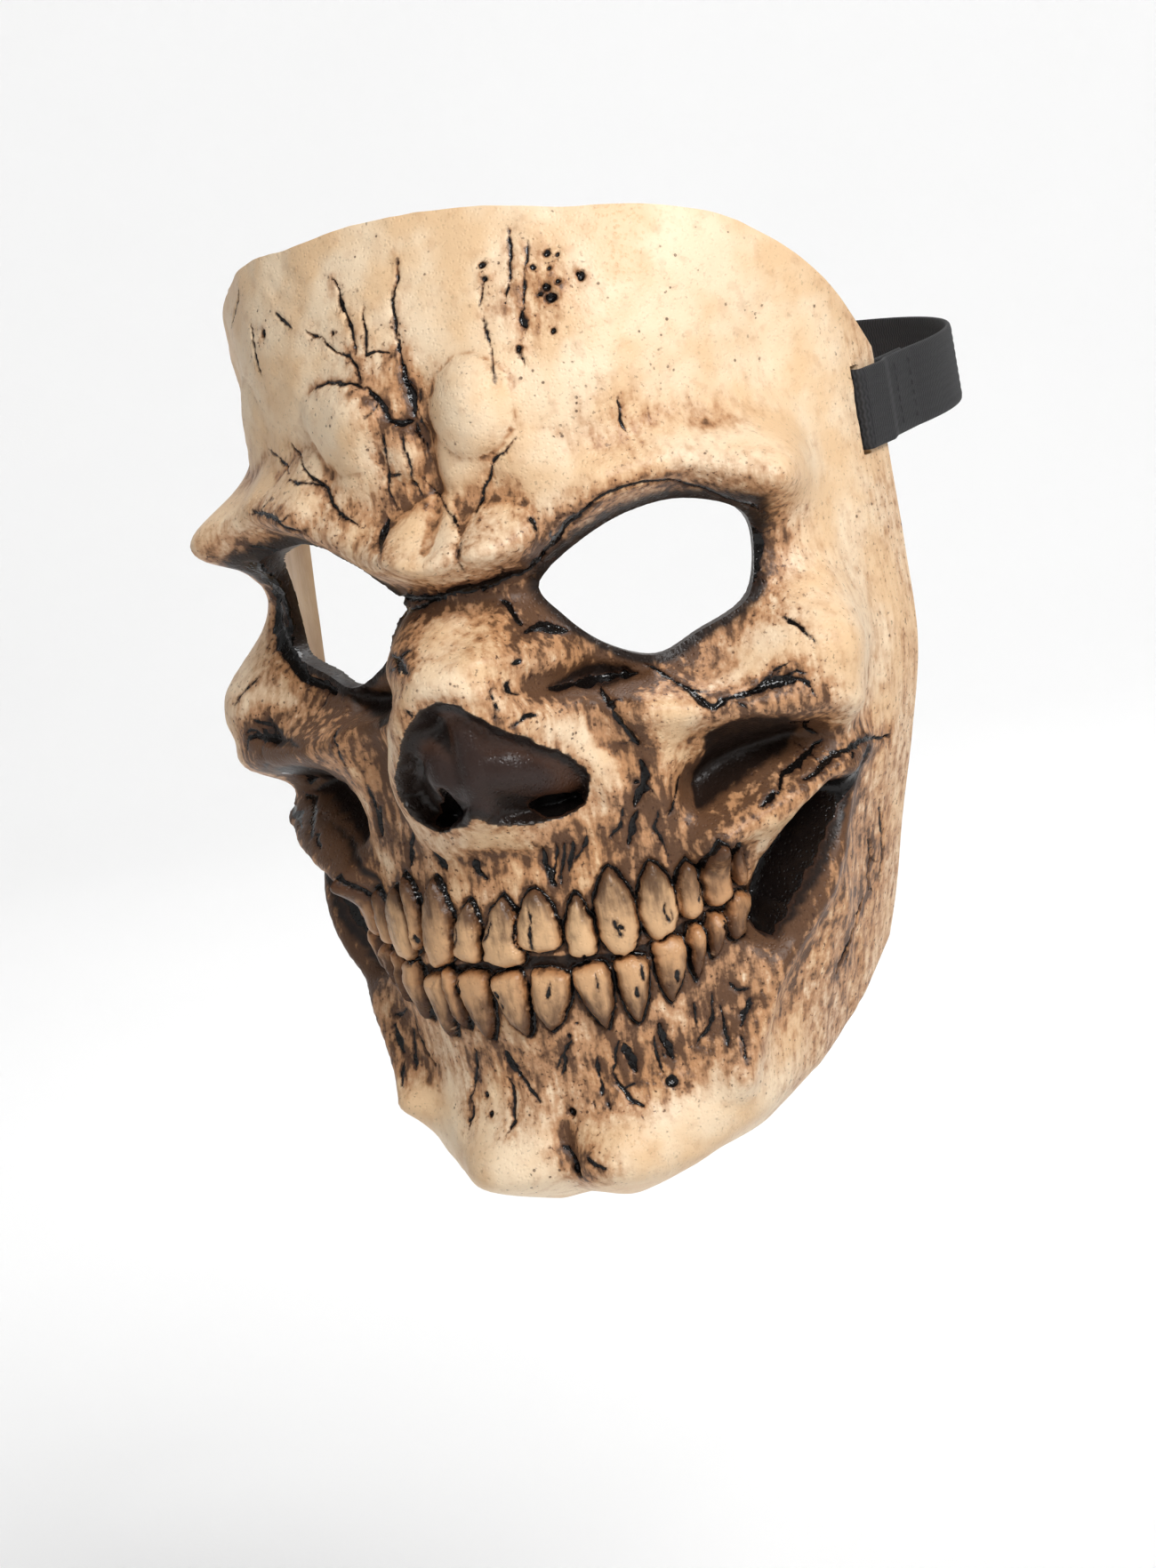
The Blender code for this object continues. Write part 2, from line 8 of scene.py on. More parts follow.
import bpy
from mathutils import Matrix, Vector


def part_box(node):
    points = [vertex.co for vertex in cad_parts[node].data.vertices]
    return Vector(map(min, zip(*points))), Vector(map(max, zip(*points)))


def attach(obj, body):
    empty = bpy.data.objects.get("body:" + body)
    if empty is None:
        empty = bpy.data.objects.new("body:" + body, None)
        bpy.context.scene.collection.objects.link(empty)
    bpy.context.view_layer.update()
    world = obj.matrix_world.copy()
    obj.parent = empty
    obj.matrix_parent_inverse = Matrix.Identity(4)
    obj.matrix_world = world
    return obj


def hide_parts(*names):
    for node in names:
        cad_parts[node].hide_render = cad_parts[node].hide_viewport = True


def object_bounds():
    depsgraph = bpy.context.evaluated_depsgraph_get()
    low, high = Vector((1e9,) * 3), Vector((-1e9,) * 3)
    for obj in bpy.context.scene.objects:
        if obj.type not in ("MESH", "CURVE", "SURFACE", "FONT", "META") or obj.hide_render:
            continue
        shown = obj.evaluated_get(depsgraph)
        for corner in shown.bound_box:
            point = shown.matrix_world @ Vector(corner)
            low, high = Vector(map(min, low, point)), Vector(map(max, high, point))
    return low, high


bl_info = {
    "name": "Skull Mask",
    "version": (1, 0, 0),
    "blender": (4, 5, 0),
    "location": "View3D > Sidebar > Skull Mask",
    "description": "Adds a painted latex skull mask, its elastic strap and a plain studio",
    "category": "Add Mesh",
}

import math
from collections import namedtuple

import bmesh
import bpy
import numpy as np
from mathutils import Matrix

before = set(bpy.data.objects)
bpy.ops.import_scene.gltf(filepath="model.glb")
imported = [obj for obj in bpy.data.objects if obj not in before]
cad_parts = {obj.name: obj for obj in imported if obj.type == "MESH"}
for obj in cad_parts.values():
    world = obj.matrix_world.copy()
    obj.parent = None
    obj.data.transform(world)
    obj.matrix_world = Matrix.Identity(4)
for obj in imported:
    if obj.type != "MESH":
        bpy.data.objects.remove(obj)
CAD_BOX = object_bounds()
STRAP_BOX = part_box("elastic_strap")

# The plain shell, as in the model
MASK_HEIGHT = 0.216
MASK_BREADTH = 0.142
SIDE_REACH = 0.070
WALL = 0.0024
CHIN_TURN = 0.012
JAW_TURN = 0.004
TURN_START = 0.95
CHIN_SHARE = 0.30
JAW_SHARE = 0.60
PLAIN_RIM = 0.015
RIM_FADE = 0.026

# Its main relief
BROW_RELIEF = 0.0105
CHEEK_RELIEF = 0.0095
JAW_RELIEF = 0.0060
LOBE_RELIEF = 0.0030
SOCKET_DEPTH = 0.0050
SOCKET_SPREAD = 1.2
HOLLOW_DEPTH = 0.0080
GAP_DEPTH = 0.0100
NOSE_PROJECTION = 0.0215
NOSE_HALF_WIDTH = 0.027
NOSE_RIDGE = 0.11
NOSE_FULLNESS = 0.75

# Eye holes and strap slots
EYE_WIDTH = 0.045
EYE_HEIGHT = 0.033
EYE_SPACING = 0.084
EYE_DROP = 0.0046
EYE_CUT_DEPTH = 0.030
STRAP_WIDTH = 0.018
STRAP_THICKNESS = 0.0014
STRAP_LEVEL = 0.020
SLOT_EDGE = 0.011
SLOT_CLEARANCE = 0.0010
STRAP_CLEARANCE = 0.0006
RIM_FOLD = 0.007
TAB_RUN = 0.015
FOLD_RADIUS = 0.0011
HEAD_BREADTH = 0.158
HEAD_BACK = 0.168
HEAD_ROUNDNESS = 0.7

# The detail cast and painted on it. Waves and the lumps' warp have a height and a length; the other pairs
# are where a change starts and where it is complete.
BROAD_WAVE = (0.00045, 0.014)
MIDDLE_WAVE = (0.00025, 0.0065)
FINE_WAVE = (0.00018, 0.0032)
JAW_WRINKLE = (0.00040, 0.0024)
JAW_SIDE_FROM = (0.055, 0.080)
JAW_SIDE_BELOW = (-0.020, -0.055)
FLAT_RIM = (0.004, 0.02)
LUMP_WARP = (0.0016, 0.011)
LUMP_FULLNESS = 0.6
CREASE_STAIN = 0.26
CREASE_PLACE = 1.03
CREASE_SPREAD = 0.10
CREASE_PATCH = 0.0070
CAVITY_SINK = 0.0084
CAVITY_WALL = (-0.0004, 0.0030)
CAVITY_RIM = 0.0015
CAVITY_RIM_PLACE = 0.0040
CAVITY_RIM_SPREAD = 0.0030
NOSTRIL_DEPTH = 0.0035
BETWEEN_ROWS_DEPTH = 0.0006
GAP_SINK = 0.0012
GAP_STAIN_SPREAD = 0.004
RECESS_STAIN_SPREAD = 0.0035
# Reach of the painted shade at a tooth's edge
TOOTH_EDGE_SHADE = 0.0009
GUM_STAIN_SPREAD = 0.0020
LIP_HEIGHT = 0.00012
PIT_RIM_HEIGHT = 0.0002
EYE_BLACK_REACH = 0.0036
BROW_BLACK_REACH = 0.0022
RIM_BROWN_FROM = (0.030, 0.002)
INNER_BLACK_SPREAD = 0.003
TOOTH_RELIEF = 0.0032
TOOTH_ROUNDING = 0.0034
OUTLINE_WIDTH = 0.00062
OUTLINE_DEPTH = 0.0007
ROOT_TAPER = 0.72
TOOTH_STEPS = np.linspace(0, 1, 22)
STAIN_SPREAD = 0.0030
MIRROR_FROM = ((-0.085, -0.020), (0.036, 0.062))
TOOTH_APART = 0.003
MIRRORED = np.array((-1, 1))
WOBBLE = 0.00030
CROOKED = 0.00035
HAIRLINE_EVERY = 0.0080
HAIRLINE_FROM = 0.00045
HAIRLINE_HALF = 0.00016
HAIRLINE_DEPTH = 0.0003
NO_INK = -3.0
PAINT_VALUES = ("ink", "dark", "wash_and_shadow", "tooth", "root", "shade", "cavity")

# The strap's weave and the thread that closes its folded ends
RIB_DEPTH = 0.00012
STRAP_STEP = 0.0010
STITCH_ROWS = (0.25, 0.85)
STITCHES = 6
THREAD_RADIUS = 0.0003

# The mesh
OUTER_CELLS = (148, 176)
INNER_CELLS = (64, 72)
SECTION_STEPS = 90
LEVEL_STEPS = 140
REFINE_NEAR = (0.0024, 0.0008)
INNER_REFINE_NEAR = (0.006, 0.003)
OUTER = 0
INNER = 1
HOLE_SNAP = 0.003
MAP_CELL = 0.0008
MAP_ACROSS = 0.125
INNER_CLEAR_CELLS = 3
INNER_BLUR = 0.0022
# Blur sizes that find the hollows, where brown wash and painted shade are laid
FINE_HOLLOW_SIZE = 0.0020
BROAD_HOLLOW_SIZE = 0.0080

# The studio
SENSOR_HEIGHT = 24.0
COVE = 0.9

# The photograph's view
PHOTO_WIDTH = 1300
PHOTO_HEIGHT = 1764
PHOTO_SCALE = 5200
BRIDGE_PIXEL = (519, 663)
BRIDGE_PLACE = np.array((0.0, -0.004, 0.0))
VIEW_AZIMUTH = math.radians(25)
VIEW_ELEVATION = math.radians(10)
VIEW_ROLL = math.radians(10.3)
VIEW_DISTANCE = 1.1

Section = namedtuple("Section", "level half_breadth front side roundness")
SECTIONS = (
    Section(0.400, 0.492, 0.12, 0.93, 1.95),
    Section(0.280, 0.525, -0.04, 0.95, 1.95),
    Section(0.160, 0.526, -0.09, 0.99, 1.95),
    Section(0.040, 0.526, -0.06, 0.99, 1.95),
    Section(-0.060, 0.530, -0.05, 0.97, 1.95),
    Section(-0.160, 0.528, -0.08, 0.95, 1.98),
    Section(-0.250, 0.496, -0.11, 0.94, 2.00),
    Section(-0.340, 0.450, -0.14, 0.97, 2.00),
    Section(-0.430, 0.408, -0.12, 1.00, 2.10),
    Section(-0.510, 0.366, -0.09, 0.99, 2.30),
    Section(-0.580, 0.322, -0.10, 0.96, 2.45),
    Section(-0.680, 0.275, -0.08, 0.92, 2.50),
)

Border = namedtuple("Border", "share top bottom")
BORDERS = (
    Border(0.00, 0.376, -0.650),
    Border(0.15, 0.372, -0.658),
    Border(0.32, 0.358, -0.650),
    Border(0.50, 0.345, -0.625),
    Border(0.68, 0.310, -0.600),
    Border(0.86, 0.235, -0.568),
    Border(1.00, 0.150, -0.500),
)

Form = namedtuple("Form", "relief across level half_across half_level tilt lift")
FORMS = (
    Form(BROW_RELIEF, 0.00, 0.030, 0.105, 0.042, 0, 0.35),
    Form(BROW_RELIEF, 0.495, 0.062, 0.088, 0.052, -10, 1.10),
    Form(LOBE_RELIEF, 0.090, 0.187, 0.072, 0.046, 0, 1.05),
    Form(LOBE_RELIEF, 0.060, 0.055, 0.060, 0.032, 0, 1.00),
    Form(LOBE_RELIEF, 0.270, 0.205, 0.110, 0.060, 0, 0.55),
    Form(LOBE_RELIEF, 0.205, 0.110, 0.090, 0.030, 20, 0.55),
    Form(LOBE_RELIEF, 0.580, 0.190, 0.120, 0.080, 0, -1.10),
    Form(CHEEK_RELIEF, 0.530, -0.125, 0.130, 0.076, -8, 1.55),
    Form(CHEEK_RELIEF, 0.345, -0.150, 0.080, 0.028, 8, 0.40),
    Form(CHEEK_RELIEF, 0.250, -0.160, 0.050, 0.050, 0, 0.35),
    Form(JAW_RELIEF, 0.580, -0.380, 0.120, 0.090, 25, 0.90),
    Form(JAW_RELIEF, 0.300, -0.560, 0.130, 0.042, 10, 0.70),
    Form(JAW_RELIEF, 0.095, -0.600, 0.080, 0.034, 0, 0.95),
)

Line = namedtuple("Line", "relief half_width lift route")
LINES = (
    Line(
        BROW_RELIEF, 0.048, 0.92,
        ((0, 0.040), (0.120, 0.048), (0.250, 0.088), (0.360, 0.098), (0.455, 0.068)),
    ),
    Line(CHEEK_RELIEF, 0.032, 0.45, ((0.170, -0.125), (0.300, -0.148), (0.440, -0.172), (0.560, -0.180))),
    Line(CHEEK_RELIEF, 0.032, 0.75, ((0.330, -0.290), (0.420, -0.266), (0.540, -0.244), (0.660, -0.235))),
    Line(JAW_RELIEF, 0.036, 1.10, ((0.560, -0.275), (0.480, -0.360), (0.370, -0.450), (0.290, -0.530))),
    Line(HOLLOW_DEPTH, 0.036, -1.00, ((0.330, -0.232), (0.410, -0.214), (0.500, -0.207))),
    Line(GAP_DEPTH, 0.032, -1.00, ((0.530, -0.272), (0.470, -0.320), (0.400, -0.388))),
    Line(LOBE_RELIEF, 0.022, -1.20, ((0.110, -0.104), (0.180, -0.106), (0.250, -0.114))),
    Line(LOBE_RELIEF, 0.016, -0.80, ((0, 0.160), (0, 0.100), (0, 0.060))),
)

Nose = namedtuple("Nose", "level projection half_width")
NOSE = (
    Nose(0.010, 0.00, 0.50),
    Nose(-0.010, 0.12, 0.66),
    Nose(-0.030, 0.52, 0.82),
    Nose(-0.058, 0.93, 0.98),
    Nose(-0.095, 1.00, 1.00),
    Nose(-0.150, 1.02, 1.00),
    Nose(-0.195, 0.96, 1.00),
    Nose(-0.222, 0.68, 0.94),
    Nose(-0.245, 0.26, 0.84),
    Nose(-0.270, 0.00, 0.74),
)

EYE_OUTLINE = (
    (-0.53, 0.12),
    (-0.24, 0.39),
    (0.10, 0.50),
    (0.40, 0.41),
    (0.52, 0.18),
    (0.45, -0.22),
    (0.18, -0.40),
    (-0.04, -0.50),
    (-0.26, -0.38),
    (-0.44, -0.14),
)

# Everything from here to the end of these tables, except the gap's valley, is placed by pixels of the
# photograph.
# Teeth: the tip of the root, the middle of the biting edge, and the widest place on each side. Square is
# how blunt the edge is, and shade how brown the tooth is.
Tooth = namedtuple("Tooth", "root edge left right square shade")
UPPER_TEETH = (
    Tooth((441, 983), (460, 1076), (447, 1022), (465, 1040), 2.2, 0.60),
    Tooth((479, 988), (486, 1094), (467, 1052), (502, 1046), 2.2, 0.55),
    Tooth((520, 1014), (518, 1088), (502, 1066), (535, 1058), 4.0, 0.45),
    Tooth((559, 1009), (563, 1094), (536, 1068), (587, 1078), 4.0, 0.40),
    Tooth((596, 1000), (603, 1077), (575, 1052), (628, 1048), 3.0, 0.35),
    Tooth((643, 1007), (653, 1083), (631, 1050), (672, 1062), 4.0, 0.25),
    Tooth((683, 976), (704, 1080), (666, 1030), (722, 1042), 2.2, 0.40),
    Tooth((732, 970), (745, 1062), (716, 1012), (770, 1030), 2.2, 0.40),
    Tooth((776, 970), (783, 1039), (762, 1000), (798, 1014), 2.6, 0.65),
    Tooth((816, 951), (813, 1024), (791, 985), (831, 990), 3.0, 0.85),
    Tooth((838, 954), (840, 1002), (829, 975), (848, 980), 3.0, 0.95),
)
LOWER_TEETH = (
    Tooth((518, 1164), (491, 1094), (481, 1106), (507, 1112), 5.0, 0.75),
    Tooth((546, 1178), (523, 1096), (505, 1108), (545, 1116), 5.0, 0.70),
    Tooth((591, 1172), (566, 1096), (545, 1110), (591, 1122), 5.0, 0.60),
    Tooth((617, 1167), (616, 1094), (592, 1112), (641, 1118), 5.0, 0.60),
    Tooth((684, 1165), (663, 1087), (641, 1102), (690, 1112), 5.0, 0.60),
    Tooth((720, 1157), (711, 1078), (691, 1096), (734, 1102), 5.0, 0.60),
    Tooth((759, 1132), (755, 1056), (736, 1076), (777, 1070), 5.0, 0.70),
    Tooth((789, 1108), (789, 1042), (778, 1060), (800, 1062), 4.0, 0.85),
    Tooth((808, 1083), (812, 1030), (799, 1046), (824, 1050), 4.0, 0.90),
    Tooth((831, 1061), (838, 1006), (823, 1032), (848, 1030), 4.0, 0.90),
)
BITE = (
    (437, 1080), (486, 1098), (540, 1094), (592, 1086), (640, 1086), (704, 1082), (745, 1066), (790, 1040),
    (842, 1006),
)
BITE_WIDTH = 22

# Cracks filled with black: greatest width in pixels, depth in millimetres, and the route.
Crack = namedtuple("Crack", "width depth route")
CRACKS = (
    Crack(4, 0.7, ((446, 293), (446, 315), (443, 340), (443, 370), (446, 395), (451, 412), (459, 432))),
    Crack(8, 1.1, ((448, 403), (454, 425), (463, 440), (467, 455), (468, 470))),
    Crack(7, 0.9, ((440, 475), (452, 476), (466, 473))),
    Crack(6, 0.9, ((414, 435), (424, 448), (434, 462), (440, 474))),
    Crack(3, 0.5, ((356, 437), (370, 431), (386, 430), (402, 432), (412, 436))),
    Crack(4, 0.6, ((374, 315), (381, 332), (387, 352), (396, 368), (400, 384), (401, 398))),
    Crack(3, 0.5, ((409, 342), (409, 356), (413, 372), (412, 392), (412, 400), (425, 395), (437, 399))),
    Crack(3, 0.6, ((345, 371), (358, 380), (368, 390), (382, 397), (394, 399), (402, 410), (407, 430))),
    Crack(3, 0.5, ((309, 353), (318, 360), (328, 370))),
    Crack(3, 0.5, ((283, 365), (286, 382), (289, 400), (292, 414), (294, 420))),
    Crack(3, 0.4, ((270, 328), (266, 345), (262, 358), (260, 370))),
    Crack(3, 0.5, ((438, 488), (438, 505), (443, 522), (445, 545), (452, 570))),
    Crack(3, 0.5, ((457, 486), (462, 502), (467, 518), (470, 538), (480, 558))),
    Crack(2, 0.4, ((470, 473), (474, 487), (485, 504))),
    Crack(2, 0.4, ((472, 436), (473, 460), (479, 480))),
    Crack(2, 0.4, ((446, 528), (452, 530), (459, 529))),
    Crack(3, 0.5, ((579, 489), (570, 505), (560, 514), (554, 535), (546, 552), (541, 568), (537, 580))),
    Crack(2, 0.5, ((480, 533), (495, 552), (508, 567), (519, 588), (521, 610), (523, 643))),
    Crack(3, 0.5, ((327, 500), (345, 520), (362, 535), (374, 546), (381, 566), (400, 582), (412, 590))),
    Crack(2, 0.4, ((331, 537), (343, 542), (358, 540), (370, 541))),
    Crack(2, 0.4, ((303, 505), (318, 520), (330, 532))),
    Crack(9, 1.2, ((440, 584), (436, 592), (430, 600), (433, 618))),
    Crack(5, 0.6, ((283, 577), (300, 578), (318, 582), (328, 592), (340, 597))),
    Crack(3, 0.5, ((571, 258), (573, 275), (576, 290), (572, 308), (570, 342))),
    Crack(3, 0.5, ((594, 272), (594, 290), (588, 308), (590, 330), (590, 348))),
    Crack(5, 0.8, ((587, 350), (590, 362), (592, 368))),
    Crack(3, 0.5, ((545, 315), (543, 330), (541, 342))),
    Crack(2, 0.4, ((546, 358), (550, 380), (556, 410), (560, 430))),
    Crack(2, 0.4, ((586, 392), (590, 402), (592, 412))),
    Crack(3, 0.5, ((693, 447), (697, 470), (702, 484))),
    Crack(3, 0.5, ((597, 578), (602, 586), (603, 596))),
    Crack(10, 1.2, ((432, 672), (470, 674), (500, 670), (529, 662), (560, 652), (592, 641), (612, 622))),
    Crack(7, 1.0, ((608, 626), (622, 608), (640, 586), (664, 566))),
    Crack(4, 0.7, ((658, 570), (682, 554), (719, 542), (750, 539))),
    Crack(3, 0.5, ((750, 539), (793, 551), (829, 563), (862, 576))),
    Crack(12, 1.0, ((842, 584), (853, 610), (846, 640), (832, 668))),
    Crack(16, 1.4, ((286, 634), (306, 664), (314, 698), (322, 726), (342, 760), (376, 780))),
    Crack(8, 1.0, ((283, 616), (320, 624), (355, 636), (390, 652), (432, 670))),
    Crack(6, 0.9, ((488, 668), (480, 680), (446, 690), (438, 712), (428, 730))),
    Crack(6, 0.8, ((442, 736), (452, 746), (458, 758), (450, 740), (460, 732))),
    Crack(5, 0.6, ((563, 676), (575, 688), (587, 703))),
    Crack(10, 1.2, ((590, 712), (604, 706), (620, 708), (636, 710))),
    Crack(3, 0.4, ((565, 764), (568, 772), (574, 778), (582, 780))),
    Crack(4, 0.5, ((551, 775), (557, 790), (557, 806))),
    Crack(4, 0.5, ((580, 816), (590, 806), (604, 804))),
    Crack(9, 1.1, ((619, 772), (640, 770), (664, 768), (690, 763), (716, 758))),
    Crack(7, 1.0, ((676, 774), (684, 790), (696, 806), (708, 822), (719, 836))),
    Crack(9, 1.0, ((722, 856), (726, 872), (722, 890), (714, 906))),
    Crack(9, 1.0, ((716, 910), (711, 925), (708, 950))),
    Crack(4, 0.5, ((700, 905), (696, 928), (688, 940))),
    Crack(4, 0.5, ((740, 912), (735, 930), (752, 964))),
    Crack(3, 0.4, ((764, 872), (758, 900), (750, 918))),
    Crack(4, 0.6, ((724, 747), (744, 759), (758, 766))),
    Crack(8, 1.1, ((757, 766), (774, 777), (790, 789), (805, 795), (823, 789))),
    Crack(7, 0.9, ((820, 790), (840, 783), (858, 776))),
    Crack(11, 1.2, ((848, 779), (862, 771), (880, 766), (897, 764))),
    Crack(4, 0.5, ((896, 763), (908, 767), (917, 778))),
    Crack(3, 0.4, ((862, 768), (872, 754), (886, 746))),
    Crack(3, 0.4, ((880, 764), (892, 756), (905, 758))),
    Crack(5, 0.6, ((894, 811), (906, 815), (917, 825))),
    Crack(3, 0.4, ((880, 695), (896, 703), (908, 716), (916, 724))),
    Crack(5, 0.7, ((1000, 828), (967, 834), (945, 848), (927, 860), (906, 878))),
    Crack(4, 0.6, ((927, 832), (912, 844), (894, 860), (884, 878), (874, 892))),
    Crack(3, 0.5, ((870, 889), (862, 898), (853, 908))),
    Crack(5, 0.7, ((978, 944), (980, 965), (976, 985), (976, 1000))),
    Crack(5, 0.7, ((972, 1011), (962, 1040), (952, 1070), (941, 1094))),
    Crack(3, 0.5, ((990, 900), (993, 940), (990, 990))),
    Crack(6, 0.8, ((466, 932), (463, 950), (461, 976))),
    Crack(5, 0.8, ((427, 906), (428, 922), (429, 940))),
    Crack(9, 0.9, ((488, 956), (496, 966), (503, 978))),
    Crack(9, 0.9, ((534, 968), (538, 980), (546, 988))),
    Crack(7, 0.8, ((611, 952), (613, 968), (618, 984), (624, 996))),
    Crack(4, 0.6, ((628, 950), (624, 972), (621, 990))),
    Crack(4, 0.6, ((636, 950), (633, 972), (630, 993))),
    Crack(5, 0.6, ((662, 935), (659, 952), (648, 966))),
    Crack(4, 0.6, ((646, 947), (644, 962), (640, 980))),
    Crack(5, 0.6, ((413, 884), (414, 893), (420, 905), (426, 925), (428, 940))),
    Crack(3, 0.4, ((378, 820), (380, 838), (386, 860))),
    Crack(3, 0.4, ((458, 796), (462, 803), (463, 808))),
    Crack(6, 0.8, ((532, 1180), (534, 1200), (530, 1222), (527, 1240))),
    Crack(7, 0.8, ((567, 1184), (576, 1198), (586, 1211))),
    Crack(4, 0.6, ((572, 1210), (578, 1222), (581, 1240), (583, 1262), (578, 1270))),
    Crack(3, 0.4, ((583, 1206), (596, 1222), (612, 1238))),
    Crack(5, 0.6, ((642, 1170), (636, 1185), (633, 1208))),
    Crack(4, 0.5, ((671, 1190), (675, 1212), (679, 1234))),
    Crack(4, 0.6, ((697, 1172), (693, 1188), (691, 1206))),
    Crack(10, 1.1, ((702, 1176), (707, 1190), (716, 1205))),
    Crack(5, 0.6, ((690, 1208), (700, 1225), (712, 1238), (724, 1244))),
    Crack(10, 1.1, ((741, 1152), (747, 1170), (757, 1192))),
    Crack(4, 0.6, ((735, 1165), (737, 1182), (741, 1198), (746, 1210))),
    Crack(4, 0.6, ((780, 1127), (783, 1142), (785, 1156))),
    Crack(4, 0.6, ((802, 1118), (803, 1140), (797, 1158), (784, 1176))),
    Crack(5, 0.6, ((820, 1106), (829, 1112), (842, 1112))),
    Crack(4, 0.6, ((843, 1122), (838, 1138), (834, 1156))),
    Crack(3, 0.5, ((834, 1164), (837, 1180), (838, 1194))),
    Crack(3, 0.5, ((812, 1130), (816, 1150), (818, 1176))),
    Crack(3, 0.4, ((668, 1238), (672, 1246))),
    Crack(3, 0.4, ((684, 1236), (688, 1246))),
    Crack(7, 0.8, ((640, 1298), (648, 1310), (654, 1324))),
    Crack(6, 0.7, ((664, 1300), (672, 1308), (684, 1312))),
    Crack(3, 0.4, ((533, 1240), (535, 1256), (530, 1268))),
    Crack(4, 0.5, ((632, 1290), (640, 1296))),
    Crack(3, 0.5, ((601, 1039), (601, 1050), (604, 1066))),
    Crack(3, 0.5, ((597, 1018), (600, 1028), (602, 1036))),
    Crack(3, 0.5, ((519, 1042), (519, 1052), (516, 1064))),
    Crack(3, 0.4, ((556, 1036), (555, 1048), (551, 1058))),
    Crack(4, 0.6, ((569, 1084), (569, 1092))),
    Crack(4, 0.6, ((657, 1070), (656, 1082))),
    Crack(3, 0.5, ((691, 1030), (694, 1042), (697, 1050))),
    Crack(6, 0.8, ((696, 1036), (700, 1040))),
    Crack(3, 0.5, ((743, 1012), (745, 1024), (750, 1034))),
    Crack(2, 0.4, ((751, 1018), (752, 1030))),
    Crack(3, 0.4, ((784, 996), (782, 1012))),
    Crack(4, 0.5, ((474, 1048), (476, 1058))),
    Crack(4, 0.5, ((521, 1102), (522, 1116))),
    Crack(4, 0.6, ((564, 1110), (566, 1118))),
    Crack(4, 0.6, ((570, 1124), (573, 1130))),
    Crack(4, 0.5, ((621, 1098), (620, 1116))),
    Crack(4, 0.5, ((671, 1092), (673, 1110))),
    Crack(4, 0.5, ((712, 1108), (716, 1117))),
    Crack(3, 0.5, ((720, 1082), (722, 1098))),
    Crack(5, 0.6, ((756, 1086), (758, 1100))),
    Crack(4, 0.5, ((810, 1034), (811, 1052))),
    Crack(3, 0.5, ((838, 1020), (836, 1036))),
)

# Round pits: the centre, and the radius in pixels and depth in millimetres.
Pit = namedtuple("Pit", "centre radius depth")
PITS = (
    Pit((614, 286), 5, 0.8),
    Pit((627, 286), 3, 0.6),
    Pit((600, 301), 4, 0.6),
    Pit((618, 302), 3, 0.5),
    Pit((614, 322), 7, 1.2),
    Pit((620, 334), 8, 1.3),
    Pit((628, 316), 4, 0.7),
    Pit((607, 331), 4, 0.7),
    Pit((654, 311), 6, 0.9),
    Pit((650, 308), 3, 0.6),
    Pit((622, 373), 4, 0.6),
    Pit((585, 392), 4, 0.7),
    Pit((541, 299), 5, 0.8),
    Pit((546, 314), 4, 0.7),
    Pit((296, 376), 6, 0.8),
    Pit((375, 375), 3, 0.5),
    Pit((583, 744), 5, 0.7),
    Pit((543, 664), 4, 0.6),
    Pit((548, 1232), 4, 0.6),
    Pit((556, 1252), 4, 0.7),
    Pit((643, 1251), 6, 1.0),
    Pit((755, 1216), 9, 1.0),
    Pit((648, 1316), 7, 1.0),
    Pit((530, 1260), 3, 0.5),
    Pit((648, 1152), 3, 0.5),
    Pit((640, 1166), 3, 0.5),
    Pit((716, 880), 3, 0.5),
)

# Sunken places painted nearly black: depth in millimetres, how black, how soft their edge is in
# millimetres, and the outline.
Recess = namedtuple("Recess", "depth black soft outline")
RECESSES = (
    Recess(
        1.4, 0.95, 2.6,
        ((615, 772), (636, 757), (664, 745), (700, 748), (716, 757), (700, 768), (676, 776), (645, 776)),
    ),
    Recess(
        1.6, 1.0, 2.4,
        (
            (792, 826), (835, 808), (884, 806), (901, 818), (888, 842), (860, 862), (826, 886), (789, 914),
            (778, 894), (790, 850),
        ),
    ),
    Recess(
        2.0, 1.0, 1.6,
        (
            (388, 780), (404, 776), (424, 778), (438, 792), (436, 806), (426, 821), (420, 808), (408, 796),
            (394, 790),
        ),
    ),
    Recess(1.2, 0.95, 1.4, ((300, 806), (310, 814), (320, 828), (334, 842), (318, 840), (302, 838))),
    Recess(1.0, 0.85, 1.6, ((340, 876), (366, 880), (388, 884), (398, 906), (372, 898), (352, 888))),
    Recess(0.8, 0.75, 1.6, ((293, 866), (300, 858), (306, 862), (298, 870), (290, 872))),
    Recess(
        1.2, 0.9, 2.0,
        ((362, 915), (382, 930), (402, 952), (424, 990), (430, 1004), (414, 990), (390, 956), (370, 930)),
    ),
)
